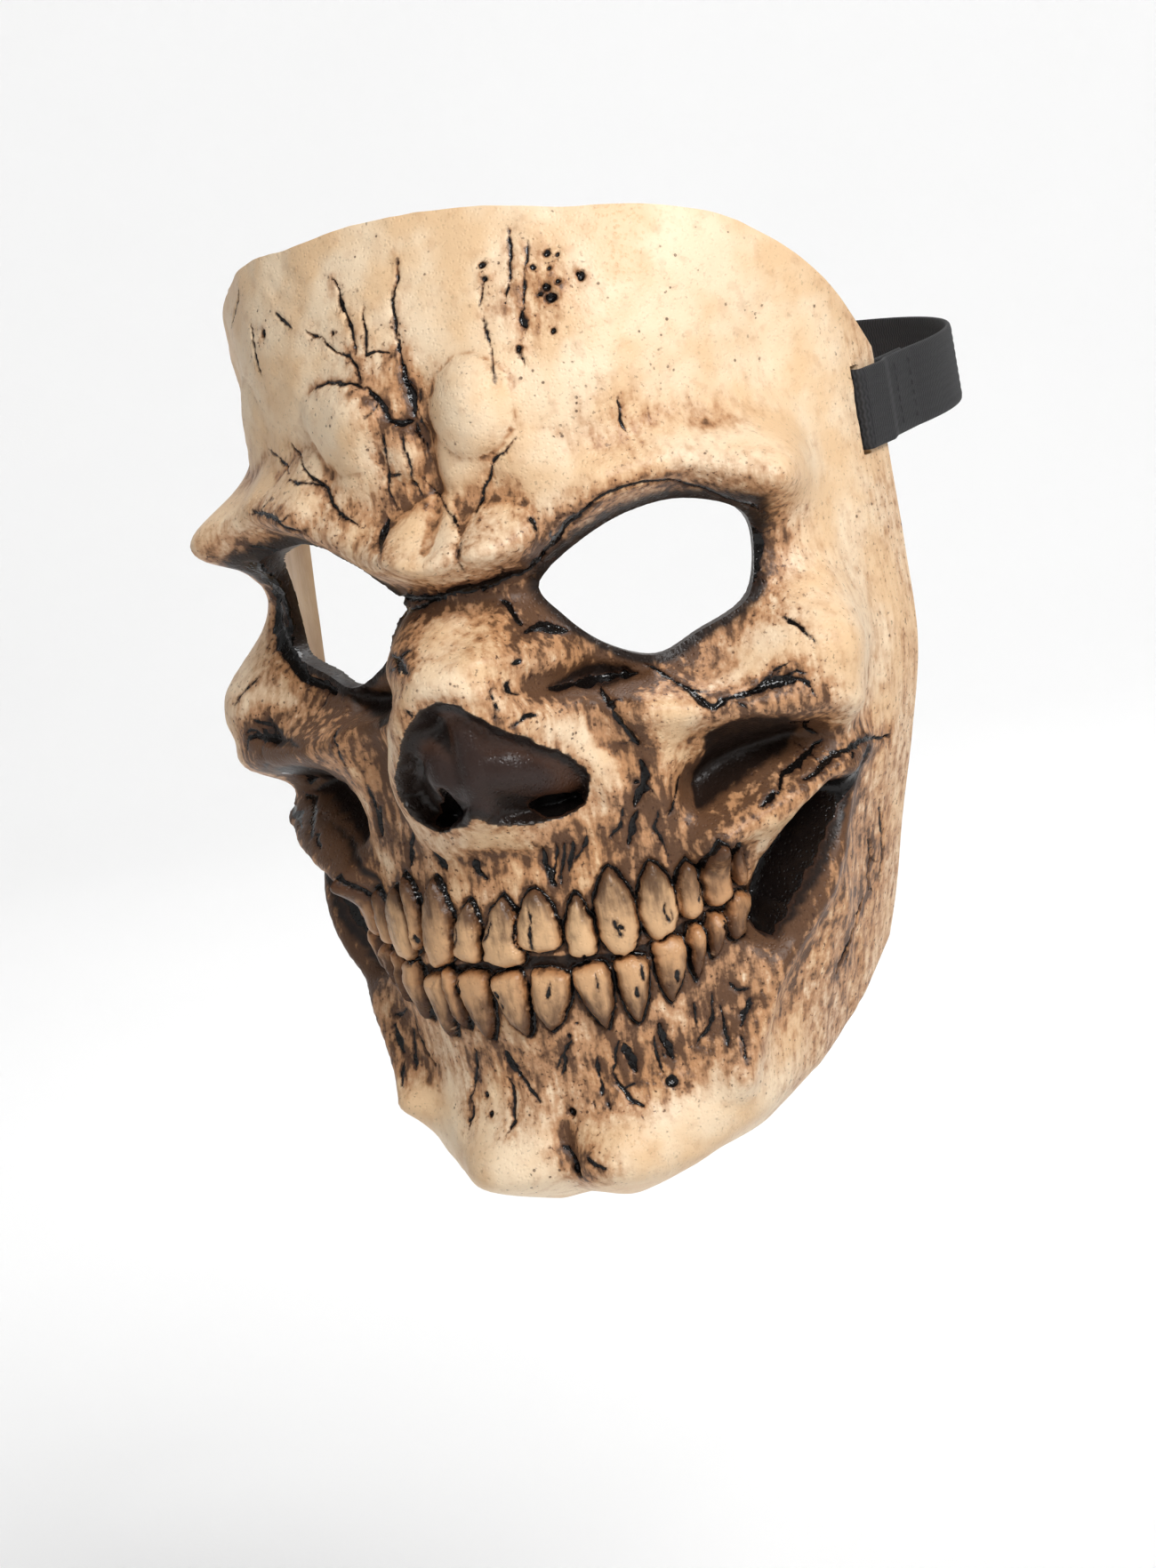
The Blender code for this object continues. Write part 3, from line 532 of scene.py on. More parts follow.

# Soft zones of brown, most of them sprayed wash: centre in pixels, half sizes in millimetres, tilt in
# degrees and strength.
WashAndShadow = namedtuple("WashAndShadow", "centre half_across half_level tilt strength")
WASHES_AND_SHADOWS = (
    WashAndShadow((618, 330), 8, 10, 0, 0.55),
    WashAndShadow((690, 470), 12, 10, 30, 0.45),
    WashAndShadow((430, 560), 14, 8, 20, 0.45),
    WashAndShadow((565, 575), 8, 8, 0, 0.40),
    WashAndShadow((275, 520), 9, 14, 0, 0.10),
    WashAndShadow((440, 450), 12, 9, 0, 0.40),
    WashAndShadow((330, 600), 12, 5, 0, 0.60),
    WashAndShadow((450, 640), 12, 5, 0, 0.40),
    WashAndShadow((610, 705), 11, 7, 0, 0.85),
    WashAndShadow((446, 735), 6, 12, 0, 0.95),
    WashAndShadow((420, 800), 9, 11, 0, 1.00),
    WashAndShadow((655, 775), 12, 6, -15, 1.00),
    WashAndShadow((790, 712), 12, 5, 30, 0.75),
    WashAndShadow((722, 850), 5, 16, 0, 1.15),
    WashAndShadow((830, 860), 16, 11, 20, 1.05),
    WashAndShadow((530, 715), 11, 9, 0, 0.35),
    WashAndShadow((900, 790), 12, 5, 20, 0.45),
    WashAndShadow((560, 972), 26, 6, 0, 0.85),
    WashAndShadow((705, 940), 11, 12, 0, 0.85),
    WashAndShadow((785, 920), 9, 9, 0, 0.95),
    WashAndShadow((440, 900), 5, 18, 0, 1.40),
    WashAndShadow((350, 850), 13, 13, 0, 1.35),
    WashAndShadow((385, 950), 9, 16, 30, 1.25),
    WashAndShadow((560, 1195), 26, 6, 0, 0.80),
    WashAndShadow((715, 1185), 20, 9, 0, 0.85),
    WashAndShadow((820, 1130), 12, 14, 0, 0.80),
    WashAndShadow((880, 1060), 9, 12, 0, 1.00),
    WashAndShadow((640, 1255), 20, 7, 0, 0.45),
    WashAndShadow((655, 1310), 7, 8, 0, 0.60),
    # These three darken the side of the jaw: painted shadow, laid on as brown.
    WashAndShadow((950, 1050), 19, 42, -15, 1.05),
    WashAndShadow((902, 1000), 7, 16, -25, 1.10),
    WashAndShadow((960, 920), 8, 18, 0, 1.05),
    WashAndShadow((930, 640), 14, 18, 0, 0.30),
)

# The gap between the tooth rows and the jaw: its valley, as shares of the mask's breadth and height.
GAP_VALLEY = ((0.610, -0.240), (0.552, -0.266), (0.492, -0.312), (0.440, -0.362), (0.405, -0.400))
GAP_HALF = 0.0036

# The nose cavity and what is cast in it.
CAVITY_EDGE = (
    (500, 791), (520, 797), (543, 810), (585, 829), (635, 850), (657, 866), (662, 884), (659, 902),
    (641, 915), (605, 926), (560, 928), (536, 920), (524, 926), (514, 930), (498, 936), (474, 927),
    (458, 908), (448, 890), (449, 856), (458, 822), (474, 802),
)
NOSTRILS = (
    ((580, 912), (605, 898), (635, 896), (657, 903), (641, 912), (612, 922)),
    ((480, 890), (489, 896), (498, 914), (503, 931), (488, 932), (471, 922), (476, 905)),
)

# Rounded lumps and dips: centre in pixels, half sizes and lift in millimetres, tilt in degrees, and how
# sharply the lump ends.
Lump = namedtuple("Lump", "centre half_across half_level tilt lift crisp")
LUMPS = (
    Lump((525, 457), 10.0, 9.8, 0, 3.8, 0.65),
    Lump((386, 480), 12.0, 10.4, -10, 3.7, 0.68),
    Lump((455, 506), 3.8, 7.0, 0, 2.0, 0.9),
    Lump((516, 530), 9.0, 8.0, 20, 1.6, 0.25),
    Lump((479, 607), 8.2, 8.2, 0, 4.1, 0.82),
    Lump((561, 606), 7.4, 7.6, 0, 4.1, 0.82),
    Lump((418, 560), 10.5, 9.0, 30, 2.3, 0.62),
    Lump((335, 556), 10.0, 7.0, 20, 2.3, 0.62),
    Lump((285, 480), 11.0, 10.0, 0, 2.3, 0.54),
    Lump((660, 440), 16.0, 12.0, 10, 2.4, 0.26),
    Lump((600, 520), 9.0, 8.0, -20, 2.0, 0.54),
    Lump((459, 706), 4.8, 5.0, 0, 1.6, 0.9),
    Lump((500, 764), 7.0, 5.0, 0, 1.2, 0.5),
    Lump((750, 800), 7.5, 8.5, 20, 1.8, 0.6),
    Lump((655, 800), 8.0, 6.0, -20, 1.0, 0.4),
    Lump((640, 728), 8.0, 4.0, 0, 1.2, 0.5),
    Lump((868, 936), 7.0, 6.0, 0, 2.2, 0.8),
    Lump((572, 1300), 16.0, 11.0, 0, 2.6, 0.0),
    Lump((700, 1296), 15.0, 10.0, 0, 2.2, 0.0),
    Lump((640, 1290), 3.0, 10.0, 0, -3.5, 0.0),
    Lump((755, 1217), 2.6, 2.2, 0, 0.8, 1.0),
    Lump((548, 742), 10.0, 3.6, -28, 1.4, 0.3),
    Lump((706, 800), 6.5, 6.0, 0, 1.6, 0.5),
    Lump((690, 880), 3.6, 9.0, 10, 1.6, 0.4),
    Lump((742, 880), 4.0, 10.0, -14, 1.5, 0.3),
    Lump((806, 752), 10.0, 4.0, 20, -1.4, 0.0),
    Lump((930, 700), 12.0, 14.0, 0, 1.4, 0.0),
    Lump((424, 532), 6.5, 8.5, 10, 1.4, 0.2),
    Lump((560, 500), 17.0, 15.0, 0, 1.6, 0.0),
    Lump((866, 500), 9.0, 4.5, 0, 2.2, 0.0),
    Lump((872, 556), 7.0, 3.5, 0, 1.6, 0.0),
    Lump((522, 716), 3.4, 7.0, 0, -1.5, 0.0),
    Lump((562, 716), 3.0, 8.0, -35, 1.2, 0.0),
    Lump((600, 690), 3.4, 7.0, -40, -1.3, 0.0),
)

# The dark lobes inside the nose, written the same way, and the route of the ridge between them.
WINGS = (
    Lump((590, 872), 11.5, 6.4, -18, 4.6, 0.85),
    Lump((555, 838), 7.0, 5.0, -40, 3.4, 0.5),
    Lump((476, 872), 4.8, 9.0, 12, 3.4, 0.85),
)
SEPTUM = ((503, 800), (512, 835), (520, 872), (528, 914))
SEPTUM_HALF = 0.0036
SEPTUM_LIFT = 0.0046


def eased(at, places, values):
    """Values of a table read along a smooth curve through its rows; places rise."""
    places, values = np.asarray(places, float), np.asarray(values, float)
    slopes = np.gradient(values, places)
    at = np.clip(at, places[0], places[-1])
    row = np.clip(np.searchsorted(places, at, side="right") - 1, 0, len(places) - 2)
    span = places[row + 1] - places[row]
    t = (at - places[row]) / span
    rise = t * t * (3 - 2 * t)
    start = t * (1 - t) ** 2 * span * slopes[row]
    end = t * t * (t - 1) * span * slopes[row + 1]
    return values[row] * (1 - rise) + values[row + 1] * rise + start + end


def smooth_step(low, high, value):
    t = np.clip((value - low) / (high - low), 0, 1)
    return t * t * (3 - 2 * t)


def shell_table():
    """Half sections of the plain shell: levels, and at equal shares of each section its x, y and length."""
    rows = np.array(SECTIONS[::-1])
    levels = np.linspace(rows[0, 0], rows[-1, 0], LEVEL_STEPS)
    half, front, side, roundness = (eased(levels, rows[:, 0], column)[:, None] for column in rows.T[1:])
    turn = np.linspace(0, math.pi / 2, SECTION_STEPS * 4)[None, :]
    x = half * MASK_BREADTH * np.sin(turn) ** (2 / roundness)
    y = SIDE_REACH * (side - (side - front) * np.cos(turn) ** (2 / roundness))
    length = np.concatenate([np.zeros_like(x[:, :1]), np.cumsum(np.hypot(np.diff(x), np.diff(y)), 1)], 1)
    shares = np.linspace(0, 1, SECTION_STEPS)
    even_x = np.array([np.interp(shares * s[-1], s, row) for s, row in zip(length, x)])
    even_y = np.array([np.interp(shares * s[-1], s, row) for s, row in zip(length, y)])
    return levels * MASK_HEIGHT, even_x, even_y, length[:, -1]


LEVELS, SHELL_X, SHELL_Y, SHELL_LENGTH = shell_table()


def between(table, share, z):
    """The shell's table read at shares of the way to the rim, and heights."""
    column = np.clip(np.abs(share), 0, 1) * (SECTION_STEPS - 1)
    row = np.clip((z - LEVELS[0]) / (LEVELS[1] - LEVELS[0]), 0, LEVEL_STEPS - 1.001)
    i, j = row.astype(int), np.minimum(column.astype(int), SECTION_STEPS - 2)
    p, q = row - i, column - j
    low = table[i, j] * (1 - q) + table[i, j + 1] * q
    high = table[i + 1, j] * (1 - q) + table[i + 1, j + 1] * q
    return low * (1 - p) + high * p


def shell_point(share, z):
    """A point of the plain shell, from the signed share of the way to the rim and its height."""
    x = between(SHELL_X, share, z) * np.sign(share)
    return np.stack([x, between(SHELL_Y, share, z), z], axis=-1)


def across_of(share, z):
    """The distance from the midline along the shell."""
    return share * np.interp(z, LEVELS, SHELL_LENGTH)


def shell_normal(share, z):
    """The plain shell's outward direction."""
    step, drop = 0.004, 0.001
    along = shell_point(share + step, z) - shell_point(share - step, z)
    upright = shell_point(share, z + drop) - shell_point(share, z - drop)
    normal = np.cross(along, upright)
    return normal / np.linalg.norm(normal, axis=-1, keepdims=True)


def swelling(across, z, centre, half, tilt):
    """The squared distance from a rounded form's middle, where 1 is its edge."""
    dx, dz = across - centre[0], z - centre[1]
    c, s = math.cos(math.radians(tilt)), math.sin(math.radians(tilt))
    return ((dx * c + dz * s) / half[0]) ** 2 + ((dz * c - dx * s) / half[1]) ** 2


def line_reach(across, z, route):
    """The distance to a route, and how far along it the nearest place is, from 0 to 1."""
    best = np.full(np.shape(across), np.inf)
    along = np.zeros(np.shape(across))
    for k, ((ax, az), (bx, bz)) in enumerate(zip(route, route[1:])):
        run = (bx - ax) ** 2 + (bz - az) ** 2 + 1e-12
        t = np.clip(((across - ax) * (bx - ax) + (z - az) * (bz - az)) / run, 0, 1)
        distance = np.hypot(across - ax - t * (bx - ax), z - az - t * (bz - az))
        along = np.where(distance < best, (k + t) / (len(route) - 1), along)
        best = np.minimum(best, distance)
    return best, along


def inside(across, z, outline):
    """Whether each place lies in a closed outline."""
    odd = np.zeros(np.shape(across), bool)
    for (ax, az), (bx, bz) in zip(outline, np.roll(outline, -1, axis=0)):
        spans = (az > z) != (bz > z)
        rise = np.where(spans, bz - az, 1)
        odd ^= spans & (across < ax + (z - az) * (bx - ax) / rise)
    return odd


def closed(outline):
    """An outline as a route that ends where it starts."""
    return np.concatenate([outline, outline[:1]])


def within(across, z, outline):
    """How far inside a closed outline each place is; outside it is below 0."""
    edge, _ = line_reach(across, z, closed(outline))
    return np.where(inside(across, z, outline), edge, -edge)


def closed_curve(points, steps):
    """A smooth closed outline through a few points."""
    points = np.array(points, float)
    t = np.arange(steps)[:, None] / steps
    smooth = []
    for k in range(len(points)):
        a, b, c, d = (points[(k + shift) % len(points)] for shift in (-1, 0, 1, 2))
        smooth.append(
            0.5 * (2 * b + (c - a) * t + (2 * a - 5 * b + 4 * c - d) * t**2 + (3 * b - a - 3 * c + d) * t**3)
        )
    return np.concatenate(smooth)


def ripple(across, z, size, seed):
    """Smooth noise from -1 to 1 whose waves are about this long."""
    u, v = across / size, z / size
    i, j = np.floor(u), np.floor(v)
    p, q = u - i, v - j
    p, q = p * p * (3 - 2 * p), q * q * (3 - 2 * q)

    def corner(a, b):
        return (np.sin((i + a) * 127.1 + (j + b) * 311.7 + seed * 74.7) * 43758.5453) % 1

    low = corner(0, 0) * (1 - p) + corner(1, 0) * p
    high = corner(0, 1) * (1 - p) + corner(1, 1) * p
    return (low * (1 - q) + high * q) * 2 - 1


def nose_relief(across, z):
    level = z / MASK_HEIGHT
    rows = np.array(NOSE[::-1])
    projection = eased(level, rows[:, 0], rows[:, 1]) * NOSE_PROJECTION
    half = eased(level, rows[:, 0], rows[:, 2]) * NOSE_HALF_WIDTH
    from_ridge = np.hypot(across / half, NOSE_RIDGE) - NOSE_RIDGE
    return projection * smooth_step(0, 1, 1 - from_ridge / (1 - NOSE_RIDGE)) ** NOSE_FULLNESS


def socket_relief(across, z):
    """The eye socket, deepest at the middle of the eye hole."""
    along = (across - EYE_SPACING / 2) / EYE_WIDTH
    up = (z + EYE_DROP) / EYE_HEIGHT
    return -SOCKET_DEPTH * smooth_step(0, 1, SOCKET_SPREAD * (1 - np.hypot(along, up)))


def to_side_rim(across, z):
    return np.interp(z, LEVELS, SHELL_LENGTH) - np.abs(across)


def main_relief(across, z):
    """How far the main forms stand over the plain shell."""
    out = np.abs(across)
    total = nose_relief(out, z) + socket_relief(out, z)
    for form in FORMS:
        centre = (form.across * MASK_BREADTH, form.level * MASK_HEIGHT)
        half = (form.half_across * MASK_BREADTH, form.half_level * MASK_HEIGHT)
        total = total + np.exp(-swelling(out, z, centre, half, form.tilt)) * form.lift * form.relief
    for line in LINES:
        route = [(share * MASK_BREADTH, level * MASK_HEIGHT) for share, level in line.route]
        near = line_reach(out, z, route)[0] / (line.half_width * MASK_BREADTH)
        total = total + np.exp(-(near**2)) * line.lift * line.relief
    return total * smooth_step(PLAIN_RIM, PLAIN_RIM + RIM_FADE, to_side_rim(out, z))


def height_at(share, fall):
    """The height at a share of the way down between the casting's borders."""
    rows = np.array(BORDERS)
    top = eased(np.abs(share), rows[:, 0], rows[:, 1]) * MASK_HEIGHT
    bottom = eased(np.abs(share), rows[:, 0], rows[:, 2]) * MASK_HEIGHT
    return top + (bottom - top) * fall


def raised(share, fall, z, relief, sink=0.0):
    """Points that stand this far over the plain shell, with the lower border turned in."""
    turned = np.clip((fall - TURN_START) / (1 - TURN_START), 0, 1) ** 2
    turn_in = CHIN_TURN + (JAW_TURN - CHIN_TURN) * smooth_step(CHIN_SHARE, JAW_SHARE, np.abs(share))
    lift = relief * (1 - turned) - turned * turn_in - sink
    return shell_point(share, z) + shell_normal(share, z) * lift[..., None]


def photo_view():
    """The camera's place, its right, up and back directions, and its focal length in pixels."""
    sin_a, cos_a = math.sin(VIEW_AZIMUTH), math.cos(VIEW_AZIMUTH)
    sin_e, cos_e = math.sin(VIEW_ELEVATION), math.cos(VIEW_ELEVATION)
    back = np.array([sin_a * cos_e, -cos_a * cos_e, sin_e])
    level_right = np.array([cos_a, sin_a, 0.0])
    level_up = np.cross(back, level_right)
    right = level_right * math.cos(VIEW_ROLL) - level_up * math.sin(VIEW_ROLL)
    up = level_right * math.sin(VIEW_ROLL) + level_up * math.cos(VIEW_ROLL)
    over = (PHOTO_WIDTH / 2 - BRIDGE_PIXEL[0]) / PHOTO_SCALE
    under = (PHOTO_HEIGHT / 2 - BRIDGE_PIXEL[1]) / PHOTO_SCALE
    place = BRIDGE_PLACE + right * over - up * under + back * VIEW_DISTANCE
    return place, right, up, back, PHOTO_SCALE * VIEW_DISTANCE


def seen_at(points):
    """The photograph's pixel for each point, and its distance."""
    place, right, up, back, focal = photo_view()
    ray = points - place
    depth = -(ray @ back)
    x = PHOTO_WIDTH / 2 + focal * (ray @ right) / depth
    y = PHOTO_HEIGHT / 2 - focal * (ray @ up) / depth
    return np.stack([x, y], -1), depth


def main_point(share, fall, stand):
    z = height_at(share, fall)
    return raised(share, fall, z, main_relief(across_of(share, z), z) + stand)


def coarse_casting():
    """The main forms at a grid of places, with what the camera sees of them."""
    share, fall = (g.ravel() for g in np.meshgrid(np.linspace(-1, 1, 121), np.linspace(0, 1, 121)))
    pixels, depth = seen_at(main_point(share, fall, 0.0))
    return share, fall, pixels, depth


COARSE = coarse_casting()


def on_mask(pixels, stand=0.0):
    """Where on the casting each pixel lies, as the distance from the midline and the height."""
    share_grid, fall_grid, grid_pixels, depth = COARSE
    share, fall = [], []
    for pixel in pixels:
        off = np.hypot(*(grid_pixels - pixel).T)
        candidates = off < off.min() + 6
        k = np.flatnonzero(candidates)[np.argmin(depth[candidates] + off[candidates] * 0.0005)]
        share.append(share_grid[k])
        fall.append(fall_grid[k])
    share, fall = np.array(share), np.array(fall)
    step = 2 / 120
    shifts = np.array([(a, b) for a in (-1, -0.5, 0, 0.5, 1) for b in (-1, -0.5, 0, 0.5, 1)])
    while step > 1e-5:
        try_share = np.clip(share[:, None] + shifts[:, 0] * step, -1, 1)
        try_fall = np.clip(fall[:, None] + shifts[:, 1] * step, 0, 1)
        seen, _ = seen_at(main_point(try_share, try_fall, stand))
        best = np.argmin(np.hypot(*np.moveaxis(seen - np.array(pixels, float)[:, None], -1, 0)), axis=1)
        rows = np.arange(len(share))
        share, fall = try_share[rows, best], try_fall[rows, best]
        step *= 0.55
    z = height_at(share, fall)
    return np.stack([across_of(share, z), z], -1)


def all_on_mask(rows, stand=0.0):
    """The same for several lists of pixels at once."""
    places = on_mask([pixel for pixels in rows for pixel in pixels], stand)
    return np.split(places, np.cumsum([len(pixels) for pixels in rows])[:-1])


def both_sides(route):
    """A route, and its mirror image where it lies on the side of the casting that the photograph hides."""
    if np.mean(route[:, 0]) > np.interp(np.mean(route[:, 1]), *MIRROR_FROM):
        return [(1, route), (-1, route * MIRRORED)]
    return [(1, route)]


def tooth_outline(tooth, root, edge, left, right):
    """The closed outline of a tooth on the casting, with its direction and length from root to edge."""
    length = np.linalg.norm(edge - root)
    axis = (edge - root) / length
    side = np.array([-axis[1], axis[0]])
    reach = (left - root) @ side, (right - root) @ side
    wide_at = np.clip(((left + right) / 2 - root) @ axis / length, 0.45, 0.86)
    outline = []
    for half, downs in ((reach[0], TOOTH_STEPS), (reach[1], TOOTH_STEPS[::-1])):
        for down in downs:
            if down < wide_at:
                width = math.sin(down / wide_at * math.pi / 2) ** ROOT_TAPER
            else:
                past = (down - wide_at) / (1 - wide_at)
                width = max(0.0, 1 - past**tooth.square) ** (1 / tooth.square)
            outline.append(root + axis * down * length + side * half * width)
    return np.array(outline), axis, length


def placed_teeth():
    """The teeth on the casting; the hidden side goes on with mirrored teeth where the visible ones end."""
    teeth = []
    for row in (LOWER_TEETH, UPPER_TEETH):
        marks = all_on_mask([(t.root, t.edge, t.left, t.right) for t in row], TOOTH_RELIEF)
        last = -min(places[:, 0].mean() for places in marks)
        for tooth, places in zip(row, marks):
            outline, axis, length = tooth_outline(tooth, *places)
            teeth.append((outline, places[0], axis, length, tooth.shade))
            if places[:, 0].mean() > last + TOOTH_APART:
                mirrored = (outline * MIRRORED, places[0] * MIRRORED, axis * MIRRORED)
                teeth.append((*mirrored, length, tooth.shade))
    return teeth


def hairlines(cracks):
    """Short fine cracks that branch off the longer ones, to either side."""
    chance = np.random.default_rng(7)
    found = []
    for route, half, _ in cracks:
        run = np.concatenate([[0], np.cumsum(np.hypot(*np.diff(route, axis=0).T))])
        for at in np.arange(HAIRLINE_EVERY / 2, run[-1], HAIRLINE_EVERY):
            start = np.array([np.interp(at, run, column) for column in route.T])
            ahead = np.array([np.interp(at + 0.001, run, column) for column in route.T]) - start
            heading = math.atan2(ahead[1], ahead[0]) + chance.choice((-1, 1)) * chance.uniform(0.5, 1.2)
            places = [start]
            for _ in range(4):
                heading += chance.uniform(-0.5, 0.5)
                step = chance.uniform(0.0006, 0.0014)
                places.append(places[-1] + step * np.array((math.cos(heading), math.sin(heading))))
            if half > HAIRLINE_FROM and run[-1] > HAIRLINE_EVERY:
                found.append((np.array(places), HAIRLINE_HALF, HAIRLINE_DEPTH))
    return found


def placed_forms(rows, strengths):
    """Rounded forms on the casting: middle, half sizes in metres, tilt, and the strength given for each."""
    forms = []
    for form, strength, centre in zip(rows, strengths, all_on_mask([[form.centre] for form in rows])):
        half = (form.half_across / 1000, form.half_level / 1000)
        for side, place in both_sides(centre):
            forms.append((place[0], half, side * form.tilt, strength))
    return forms


def placed_details():
    """Every table above, moved from the photograph onto the casting."""
    cracks = [
        (route, crack.width / PHOTO_SCALE / 2, crack.depth / 1000)
        for crack, places in zip(CRACKS, all_on_mask([crack.route for crack in CRACKS]))
        for _, route in both_sides(places)
    ]
    cracks += hairlines(cracks)
    pits = [
        (place[0], pit.radius / PHOTO_SCALE, pit.depth / 1000)
        for pit, centre in zip(PITS, all_on_mask([[pit.centre] for pit in PITS]))
        for _, place in both_sides(centre)
    ]
    recesses = [
        (closed_curve(outline, 4), recess.depth / 1000, recess.black, recess.soft / 1000)
        for recess, places in zip(RECESSES, all_on_mask([recess.outline for recess in RECESSES]))
        for _, outline in both_sides(places)
    ]
    return {
        "teeth": placed_teeth(),
        "cracks": cracks,
        "pits": pits,
        "recesses": recesses,
        "lumps": placed_forms(LUMPS, [(lump.lift / 1000, lump.crisp) for lump in LUMPS]),
        "wings": placed_forms(WINGS, [(wing.lift / 1000, wing.crisp) for wing in WINGS]),
        "septum": on_mask(SEPTUM),
        "washes_and_shadows": placed_forms(WASHES_AND_SHADOWS, [wash_and_shade.strength for wash_and_shade in WASHES_AND_SHADOWS]),
        "bite": on_mask(BITE, TOOTH_RELIEF / 2),
        "cavity": closed_curve(on_mask(CAVITY_EDGE), 3),
        "nostrils": [closed_curve(places, 4) for places in all_on_mask(NOSTRILS)],
    }


PLACED = placed_details()


def hole_frame(share, z, upright):
    """The place and the axes along which a hole is cut: across, up and outward."""
    share, z = np.array([share]), np.array([z])
    facing = shell_normal(share, z)[0]
    facing = np.array([facing[0], facing[1], 0]) / math.hypot(facing[0], facing[1])
    return shell_point(share, z)[0], np.cross(upright, facing), facing


def holes():
    """The outline and the frame of each hole through the casting."""
    up = np.array([0.0, 0.0, 1.0])
    made = []
    for side in (1, -1):
        outline = closed_curve([(side * a * EYE_WIDTH, b * EYE_HEIGHT) for a, b in EYE_OUTLINE], 6)
        length = float(np.interp(-EYE_DROP, LEVELS, SHELL_LENGTH))
        made.append((outline, *hole_frame(side * EYE_SPACING / 2 / length, -EYE_DROP, up)))
    half_long = STRAP_WIDTH / 2 + SLOT_CLEARANCE
    half_wide = STRAP_THICKNESS / 2 + SLOT_CLEARANCE
    length = float(np.interp(STRAP_LEVEL, LEVELS, SHELL_LENGTH))
    for side in (1, -1):
        corners = np.array([(-1, -1), (1, -1), (1, 1), (-1, 1)]) * (half_wide, half_long)
        pairs = zip(corners, np.roll(corners, -1, axis=0))
        sides = [np.linspace(a, b, 8, endpoint=False) for a, b in pairs]
        made.append((np.concatenate(sides), *hole_frame(side * (1 - SLOT_EDGE / length), STRAP_LEVEL, up)))
    return made


HOLES = holes()


def in_hole(points, hole):
    """Where points lie in a hole's own plane, and which of them are near its own side of the shell."""
    outline, place, along, facing = hole
    rel = points - place
    flat = np.stack([rel @ along, rel[:, 2]], -1)
    return flat, np.abs(rel @ facing) < EYE_CUT_DEPTH


def detail_distance(across, z):
    """The distance to the nearest fine line."""
    best = np.full(len(across), 1.0)
    routes = [route for route, _, _ in PLACED["cracks"]]
    routes += [closed(tooth[0]) for tooth in PLACED["teeth"]]
    routes += [closed(outline) for outline in (PLACED["cavity"], *PLACED["nostrils"])]
    routes += [closed(recess[0]) for recess in PLACED["recesses"]]
    for route in routes:
        rows = close_to(across, z, route, 0.006)
        best[rows] = np.minimum(best[rows], line_reach(across[rows], z[rows], route)[0])
    for centre, radius, _ in PLACED["pits"]:
        best = np.minimum(best, np.maximum(np.hypot(across - centre[0], z - centre[1]) - radius, 0))
    return best


def close_to(across, z, route, reach):
    """Which places are near enough to a route to be touched by it."""
    low, high = route.min(0) - reach, route.max(0) + reach
    return np.flatnonzero((across > low[0]) & (across < high[0]) & (z > low[1]) & (z < high[1]))


